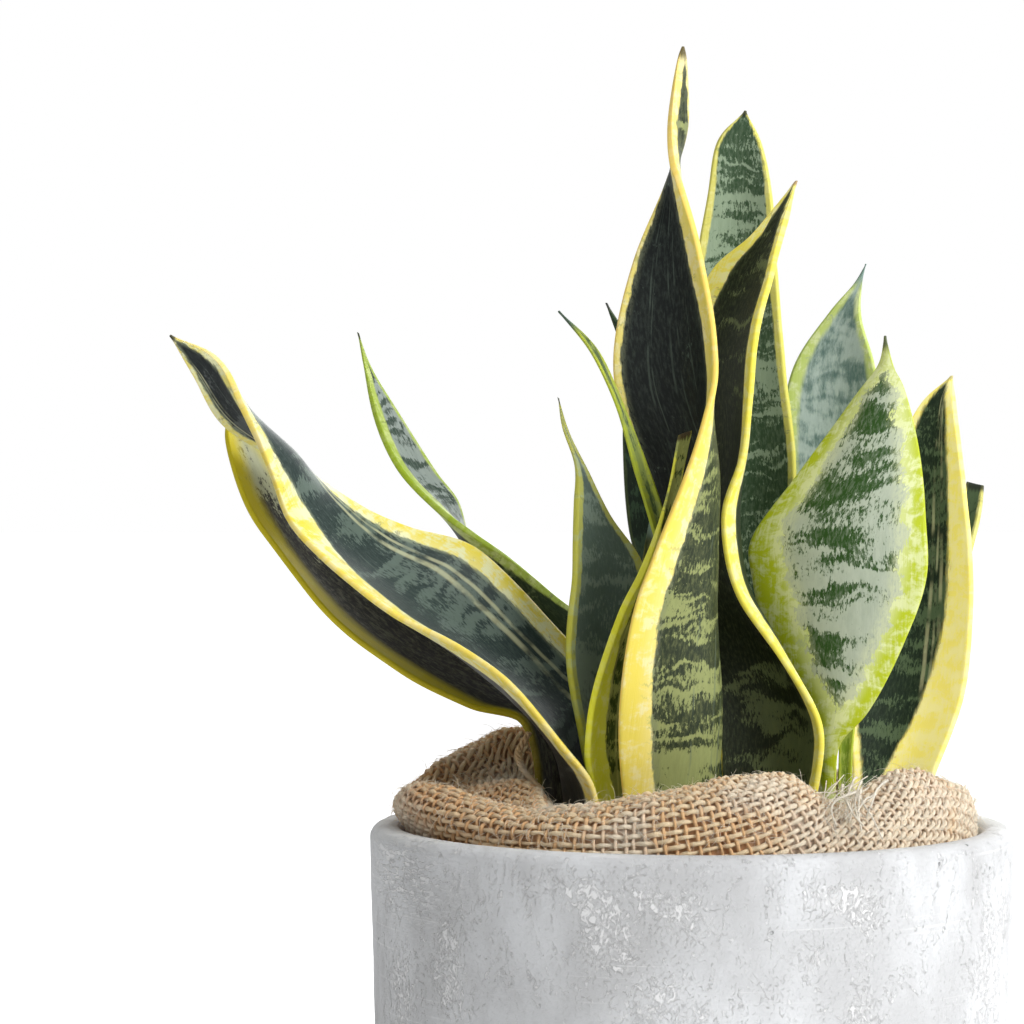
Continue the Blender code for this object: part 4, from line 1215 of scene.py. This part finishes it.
class ClothShape:
    """The gathered cloth's surface, by distance round its crest and distance in from the pot's wall."""

    turns = 720
    steps = 60

    def __init__(self):
        table = np.array(CLOTH, float)
        stations = np.radians(table[:, 0])
        rows = np.column_stack([np.cos(stations), np.sin(stations), table[:, 1:] / MEAN_REACH])
        rows = through(rows, self.turns, closed=True)[:-1]
        angles = np.unwrap(np.arctan2(rows[:, 1], rows[:, 0]))
        evenly = CLOTH_START + np.linspace(0, 2 * math.pi, self.turns, endpoint=False)
        sizes = rows[:, 2:] * MEAN_REACH * MM
        sizes = np.column_stack([np.interp(evenly, angles, s, period=2 * math.pi) for s in sizes.T])
        grid = np.array([self.section(angle, *size) for angle, size in zip(evenly, sizes)])
        self.grid = np.concatenate([grid, grid[:1]])
        self.crumple()
        spans = np.linalg.norm(np.diff(self.grid, axis=1), axis=2)
        self.deep = np.concatenate([np.zeros((len(spans), 1)), np.cumsum(spans, axis=1)], axis=1)
        crest = self.grid[:, self.steps * 3 // 8]
        self.round = np.concatenate([[0], np.cumsum(np.linalg.norm(np.diff(crest, axis=0), axis=1))])

    def section(self, angle, opening, crest, height, hump):
        """One line over the roll, from the pot's wall up over the crest and down to the soil inside."""
        hump = max(hump, 0)
        top = RIM + height - 0.0006
        low = SOIL_TOP + CLOTH_UPRIGHT * (top - SOIL_TOP)
        brow = SOIL_TOP + (1 - CLOTH_UPRIGHT**2) * (top - SOIL_TOP)
        turn = (math.degrees(angle) - 192 + 180) % 360 - 180
        lean = 0.0036 * math.exp(-((turn / 24) ** 2))
        outside = crest + CLOTH_SHOULDER * (CLOTH_WALL - crest) + lean
        crest += lean * 0.6
        span = crest - opening
        section = (
            (CLOTH_WALL - 0.0012, SOIL_TOP + 0.001),
            (CLOTH_WALL - 0.0010, RIM - 0.0015),
            (outside, brow - 0.0004),
            (crest, top),
            (opening + span * 0.62, brow + 0.0008 - hump * 0.3),
            (opening + span * 0.3, brow - 0.0006 + hump * 0.75),
            (opening + 0.0012, low + hump * 0.4),
            (opening + 0.0012, SOIL_TOP + 0.001),
        )
        line = through(section, self.steps)
        return np.column_stack([line[:, 0] * np.cos(angle), line[:, 0] * np.sin(angle), line[:, 1]])

    def normals(self):
        round_ = np.gradient(self.grid, axis=0)
        inward = np.gradient(self.grid, axis=1)
        return unit(np.cross(round_, inward))

    def crumple(self):
        """Shallow folds, with none where the cloth runs down beside the wall."""
        shape = self.grid.shape
        flat = self.grid.reshape(-1, 3)
        waves = wander(flat, 70, 2) * 0.0010 + wander(flat, 150, 6) * 0.0006
        fade = np.clip((np.arange(shape[1]) / shape[1] - 0.16) / 0.1, 0, 1)
        self.grid = self.grid + self.normals() * (waves.reshape(shape[:2]) * fade)[..., None]
        self.grid[-1] = self.grid[0]

    def at(self, round_, deep, lift=0.0):
        """Points at these distances round and in, raised off the surface by lift."""
        rows, columns = self.grid.shape[:2]
        row = np.interp(round_, self.round, np.arange(rows))
        low = np.clip(row.astype(int), 0, rows - 2)
        part = (row - low)[:, None]
        normals = self.normals()
        found = []
        for offset in (0, 1):
            near = low + offset
            column = np.array([np.interp(d, self.deep[r], np.arange(columns)) for d, r in zip(deep, near)])
            left = np.clip(column.astype(int), 0, columns - 2)
            t = (column - left)[:, None]
            here = self.grid[near, left] * (1 - t) + self.grid[near, left + 1] * t
            up = normals[near, left] * (1 - t) + normals[near, left + 1] * t
            found.append((here, up))
        point = found[0][0] * (1 - part) + found[1][0] * part
        up = unit(found[0][1] * (1 - part) + found[1][1] * part)
        return point + up * np.asarray(lift)[..., None], up

    def depth_at(self, round_):
        return np.interp(round_, self.round, self.deep[:, -1])


def tubes(name, lines, radius, sides):
    """A mesh of round threads along these lines. Each is a list of points and how thick each is."""
    data = bpy.data.curves.new(name, "CURVE")
    data.dimensions = "3D"
    data.bevel_depth = radius
    data.bevel_resolution = max(0, sides // 2 - 2)
    data.use_fill_caps = True
    for points, thick in lines:
        spline = data.splines.new("POLY")
        spline.points.add(len(points) - 1)
        flat = np.column_stack([points, np.ones(len(points))])
        spline.points.foreach_set("co", flat.ravel())
        spline.points.foreach_set("radius", np.broadcast_to(thick, len(points)).astype(float))
    pick(add_object(name, data))
    bpy.ops.object.convert(target="MESH")
    piece = bpy.context.object
    piece.data.shade_smooth()
    return piece


def slant(round_, total):
    """How steeply the weave runs against the rim: straight at the left, on the bias at the right front."""
    at = round_ / total
    return 0.7 * np.exp(-(((at - 0.59) / 0.10) ** 2)) - 0.25 * np.exp(-(((at - 0.25) / 0.08) ** 2))


class SNAKEPLANT_OT_hessian(bpy.types.Operator):
    """Weave the gathered hessian."""

    bl_idname = "snakeplant.hessian"
    bl_label = "Hessian"

    def execute(self, context):
        cloth = ClothShape()
        lining = self.lining(cloth)
        threads = self.weave(cloth)
        hairs = self.loose_fibres(cloth)
        return {"FINISHED"}

    def lining(self, cloth):
        """The cloth's lower layer, seen through the gaps of the weave. Its darker brown is partly painted shade
        for those gaps.
        """
        start_clean()
        columns, stations = 24, 240
        bpy.ops.mesh.primitive_grid_add(x_subdivisions=columns, y_subdivisions=stations, size=2)
        piece = bpy.context.object
        grid = points_of(piece)
        round_ = (grid[:, 1] + 1) / 2 * cloth.round[-1]
        deep = (grid[:, 0] + 1) / 2 * cloth.depth_at(round_)
        points, _ = cloth.at(round_, deep, np.full(len(grid), -0.0011))
        set_points(piece, points)
        pick(piece)
        edit_all()
        bpy.ops.mesh.remove_doubles(threshold=0.00001)
        bpy.ops.object.mode_set(mode="OBJECT")
        shell = piece.modifiers.new("Thickness", "SOLIDIFY")
        shell.thickness = 0.0006
        shell.offset = 0
        apply_modifiers(piece)
        turn_outwards()
        piece.data.shade_smooth()
        # The lower layer's darker brown is partly painted shade in the gaps between the threads.
        shade = look().hessian.shade
        return settle(
            piece, "hessian_cloth", "hessian", jute_finish("hessian_lower_layer_and_shade", shade, screen(96, 68, 48)),
            "hessian_wrap",
        )

    def weave(self, cloth):
        """The two families of threads, each passing over and under the other."""
        hessian = look().hessian
        fine = np.linspace(0, cloth.round[-1], 4000)
        tilt = slant(fine, cloth.round[-1])
        climb = np.concatenate([[0], np.cumsum((tilt[1:] + tilt[:-1]) / 2 * np.diff(fine))])
        way = (fine, tilt, climb, cloth.depth_at(fine))
        weft = tubes("hessian_weft", self.weft(cloth, *way), hessian.thread * WEFT_SIZE, 6)
        jute = jute_finish("jute_thread", hessian.jute, screen(204, 148, 96))
        settle(weft, "hessian_weft", "hessian", jute)
        warp = tubes("hessian_warp", self.warp(cloth, *way), hessian.thread * WARP_SIZE, 6)
        cross = jute_finish("jute_cross_thread", screen(244, 202, 152), screen(190, 132, 84))
        settle(warp, "hessian_warp", "hessian", cross)
        return [weft, warp]

    def spun(self, cloth, round_, deep, lift, index):
        """A thread's points, and its uneven thickness at each."""
        points, _ = cloth.at(round_, deep, lift)
        return points, 1 + 0.45 * wander(points, 700, index) + 0.3 * wander(points, 120, index)

    def weft(self, cloth, fine, tilt, climb, depths):
        """The threads that run round. Where the weave slants, they climb and end at the cloth's edges."""
        hessian = look().hessian
        pitch = hessian.pitch
        stations = np.arange(0, fine[-1], pitch / STEPS_PER_PITCH)
        rise = np.interp(stations, fine, climb)
        room = np.interp(stations, fine, depths)
        first = int(np.floor(-climb.max() / pitch)) - 1
        last = int(np.ceil((depths.max() - climb.min()) / pitch)) + 1
        lines = []
        for index in range(first, last + 1):
            shift = np.column_stack([stations / 0.02, stations * 0, stations * 0 + index * 0.7])
            stray = 0.4 * wander(shift, 1, 1) + 0.14 * wander(shift * (6, 1, 2), 1, 3)
            deep = index * pitch + rise + pitch * stray
            inside = (deep > 0) & (deep < room)
            ends = np.flatnonzero(np.diff(np.concatenate([[0], inside.astype(int), [0]])))
            for begin, end in ends.reshape(-1, 2):
                if end - begin < SHORTEST_RUN:
                    continue
                part = slice(begin, end)
                slope = np.interp(stations[part], fine, tilt)
                other = (stations[part] + deep[part] * slope) / hessian.warp_pitch
                lift = hessian.depth * np.cos(math.pi * other) * (1 if index % 2 else -1)
                lines.append(self.spun(cloth, stations[part], deep[part], lift, index))
        return lines

    def warp(self, cloth, fine, tilt, climb, depths):
        """The threads that run in from the wall over the roll."""
        hessian = look().hessian
        pitch = hessian.warp_pitch
        steps = np.arange(0, depths.max(), hessian.pitch / STEPS_PER_PITCH)
        lines = []
        for index in range(int(fine[-1] / pitch) + 1):
            where = np.array([np.interp(index * pitch, fine + deep * tilt, fine) for deep in steps])
            shift = np.column_stack([steps / 0.02, steps * 0 + index * 0.6, steps * 0])
            stray = 0.35 * wander(shift, 1, 4) + 0.12 * wander(shift * (6, 2, 1), 1, 5)
            where = np.clip(where + pitch * stray, 0, fine[-1])
            inside = steps < np.interp(where, fine, depths)
            if inside.sum() < SHORTEST_RUN:
                continue
            deep = steps[inside]
            where = where[inside]
            other = (deep - np.interp(where, fine, climb)) / hessian.pitch
            lift = -hessian.depth * np.cos(math.pi * other) * (1 if index % 2 else -1)
            lines.append(self.spun(cloth, where, deep, lift, index))
        return lines

    def loose_fibres(self, cloth):
        """Fuzz standing off the threads, fibres lying on them, and the frayed ends."""
        hessian = look().hessian
        rng = np.random.default_rng(11)
        pale = jute_finish("jute_hair", screen(255, 246, 226), screen(236, 210, 172))
        made = []
        for name, count, longest, upright in (
            ("hessian_fuzz", hessian.hairs // 3, 0.0046, 0.9),
            ("hessian_lying_fibres", hessian.hairs * 2 // 3, 0.0052, 0.1),
        ):
            lines = self.fibres(cloth, rng, count, longest, upright)
            made.append(settle(tubes(name, lines, hessian.hair, 4), name, "hessian", pale))
        piece = tubes("hessian_frayed_corner", self.frayed_corner(rng), hessian.hair, 4)
        made.append(settle(piece, "hessian_frayed_corner", "hessian", pale))
        piece = tubes("hessian_loose_strand", self.loose_strand(rng), hessian.hair, 4)
        strand = jute_finish("jute_strand", screen(255, 222, 172), screen(226, 170, 116))
        made.append(settle(piece, "hessian_loose_strand", "hessian", strand))
        return made

    def fibres(self, cloth, rng, count, longest, upright):
        """Short curling fibres rooted all over the cloth."""
        total = cloth.round[-1]
        round_ = rng.random(count) * total
        deep = cloth.depth_at(round_) * (0.14 + 0.62 * rng.random(count))
        roots, ups = cloth.at(round_, deep, np.full(count, 0.0007))
        ahead, _ = cloth.at(np.clip(round_ + 0.001, 0, total), deep, np.full(count, 0.0007))
        t = np.linspace(0, 1, 5)[:, None]
        lines = []
        for root, up, side in zip(roots, ups, unit(ahead - roots)):
            turn = rng.random() * 2 * math.pi
            flat = side * math.cos(turn) + np.cross(up, side) * math.sin(turn)
            stand = upright * rng.random() ** 3
            aim = unit(flat * (1 - 0.7 * stand) + up * (0.1 + stand))
            bend = unit(np.cross(aim, rng.standard_normal(3)) * (1, 1, 0.5))
            reach = rng.uniform(0.35, 1) * longest
            curl = rng.uniform(0.2, 0.8)
            points = root + aim * reach * t + bend * reach * curl * t**2 - up * reach * 0.3 * t**3
            lines.append((points, np.linspace(1.2, 0.6, 5) * rng.uniform(0.7, 1.3)))
        return lines

    def frayed_corner(self, rng):
        """Where the cloth's cut corner has frayed, in the dip at the right front."""
        lines = []
        t = np.linspace(0, 1, 9)[:, None]
        for _ in range(46):
            start = FRAY_TOP + rng.standard_normal(3) * (0.0028, 0.0012, 0.0012)
            end = FRAY_FOOT + rng.standard_normal(3) * (0.0042, 0.0014, 0.0022)
            sag = np.array((-0.0012, -0.0010, 0.0002)) * rng.uniform(0.4, 1.6)
            points = start + (end - start) * t + sag * 4 * t * (1 - t)
            wave = np.sin(t * rng.uniform(4, 12) + rng.random() * 6)
            points = points + 0.0004 * wave * rng.standard_normal(3)
            thick = rng.choice((1.3, 3.5, 8.0), p=(0.5, 0.25, 0.25))
            lines.append((points, np.linspace(thick, thick * 0.6, 9)))
        for _ in range(110):
            aim = unit(rng.standard_normal(3) * (1, 0.6, 0.9) + (0.1, -0.3, 0.5))
            aim = aim * rng.uniform(0.0015, 0.0042)
            start = FRAY_TOP + (FRAY_FOOT - FRAY_TOP) * rng.random() + rng.standard_normal(3) * 0.0016
            lines.append((start + aim * t + rng.standard_normal(3) * 0.001 * t**2, np.linspace(1.4, 0.6, 9)))
        return lines

    def loose_strand(self, rng):
        """A twisted strand hanging inside the left of the cloth."""
        hair = look().hessian.hair
        lines = []
        hang = through(STRAND_PATH, 40) * MM
        way = np.linspace(0, 1, 41)
        for strand in range(3):
            twist = way * 30 + strand * 2.1
            off = np.column_stack([np.cos(twist), np.sin(twist), 0 * twist]) * 0.00050
            lines.append((hang + off, np.full(41, 0.00045 / hair)))
        t = np.linspace(0, 1, 9)[:, None]
        for _ in range(26):
            root = hang[rng.integers(3, 40)]
            aim = unit(rng.standard_normal(3)) * rng.uniform(0.0015, 0.0035)
            droop = np.array((0, 0, -0.001))
            lines.append((root + aim * t + droop * t**2, np.full(9, 0.9)))
        return lines


# ---- Stage ---------------------------------------------------------------------------------------


# The lights: name, place, size in metres and watts. All are aimed at the middle of the plant.
LIGHTS = (
    ("key", (1.05, -1.0, 1.0), 0.9, 20),
    ("back", (0.5, 1.5, 1.0), 1.2, 14),
    ("side", (1.4, -0.1, 0.5), 1.0, 3),
)
PLANT_MIDDLE = Vector((0, 0, 0.18))
EYE = (-0.0417, -0.720, 0.2125)
LENS = 108.17
SENSOR = 36


class SNAKEPLANT_OT_stage(bpy.types.Operator):
    """Add the floor, the studio light and the camera."""

    bl_idname = "snakeplant.stage"
    bl_label = "Stage"

    def execute(self, context):
        start_clean()
        bpy.ops.mesh.primitive_plane_add(size=60, location=(0, 0, -0.0002))
        floor = context.object
        floor.name = "floor"
        s = Shade("floor")
        seen = s.node("LightPath").outputs["Is Camera Ray"]
        s.put(s.shader.inputs["Emission Strength"], s.math("MULTIPLY", seen, 0.6))
        s.finish((0.8, 0.8, 0.8), 0.9, Emission_Color=(1, 1, 1, 1))
        floor.data.materials.append(s.material)
        self.sky(context.scene)
        for name, place, size, watts in LIGHTS:
            light = bpy.data.lights.new(name, "AREA")
            light.size = size
            light.energy = watts
            lamp = add_object(name, light)
            lamp.location = place
            lamp.rotation_euler = (PLANT_MIDDLE - Vector(place)).to_track_quat("-Z", "Y").to_euler()
        eye = bpy.data.cameras.new("camera")
        eye.lens = LENS
        eye.sensor_width = SENSOR
        camera = add_object("camera", eye)
        camera.location = EYE
        camera.rotation_euler = (math.radians(90), 0, 0)
        context.scene.camera = camera
        context.scene.view_settings.view_transform = "Standard"
        return {"FINISHED"}

    def sky(self, scene):
        """White to look at; as light, brighter from the right and the back than from the left."""
        world = bpy.data.worlds.new("studio")
        world.use_nodes = True
        scene.world = world
        nodes, links = world.node_tree.nodes, world.node_tree.links
        plain = nodes["Background"]
        plain.inputs["Color"].default_value = (1, 1, 1, 1)
        at = nodes.new("ShaderNodeTexCoord")
        dot = nodes.new("ShaderNodeVectorMath")
        dot.operation = "DOT_PRODUCT"
        dot.inputs[1].default_value = (0.6, 0.5, 0.6)
        ramp = nodes.new("ShaderNodeMapRange")
        for key, value in (("From Min", -0.9), ("From Max", 0.9), ("To Min", 0.12), ("To Max", 1.0)):
            ramp.inputs[key].default_value = value
        glow = nodes.new("ShaderNodeBackground")
        path = nodes.new("ShaderNodeLightPath")
        pick_one = nodes.new("ShaderNodeMixShader")
        links.new(at.outputs["Generated"], dot.inputs[0])
        links.new(dot.outputs["Value"], ramp.inputs["Value"])
        links.new(ramp.outputs["Result"], glow.inputs["Strength"])
        links.new(path.outputs["Is Camera Ray"], pick_one.inputs["Fac"])
        links.new(glow.outputs[0], pick_one.inputs[1])
        links.new(plain.outputs[0], pick_one.inputs[2])
        links.new(pick_one.outputs[0], nodes["World Output"].inputs["Surface"])


class SNAKEPLANT_PT_panel(bpy.types.Panel):
    """The plant's settings and operators."""

    bl_label = "Snake plant"
    bl_idname = "SNAKEPLANT_PT_panel"
    bl_space_type = "VIEW_3D"
    bl_region_type = "UI"
    bl_category = "Snake plant"

    def draw(self, context):
        plant = context.scene.snake_plant
        groups = {"pot": plant.pot, "leaves": plant.leaf, "hessian": plant.hessian}
        for operator in ("pot", "soil", "leaves", "hessian", "stage"):
            group = groups.get(operator)
            box = self.layout.box()
            box.operator("snakeplant." + operator)
            if group:
                for name in group.__annotations__:
                    box.prop(group, name)


CLASSES = (
    PotLook,
    LeafLook,
    HessianLook,
    SnakePlant,
    SNAKEPLANT_OT_pot,
    SNAKEPLANT_OT_soil,
    SNAKEPLANT_OT_leaves,
    SNAKEPLANT_OT_hessian,
    SNAKEPLANT_OT_stage,
    SNAKEPLANT_PT_panel,
)


def register():
    for item in CLASSES:
        bpy.utils.register_class(item)
    bpy.types.Scene.snake_plant = bpy.props.PointerProperty(type=SnakePlant)


def unregister():
    del bpy.types.Scene.snake_plant
    for item in reversed(CLASSES):
        bpy.utils.unregister_class(item)


def main():
    register()
    bpy.ops.snakeplant.pot()
    bpy.ops.snakeplant.soil()
    bpy.ops.snakeplant.leaves()
    bpy.ops.snakeplant.hessian()
    bpy.ops.snakeplant.stage()


if __name__ == "__main__":
    main()
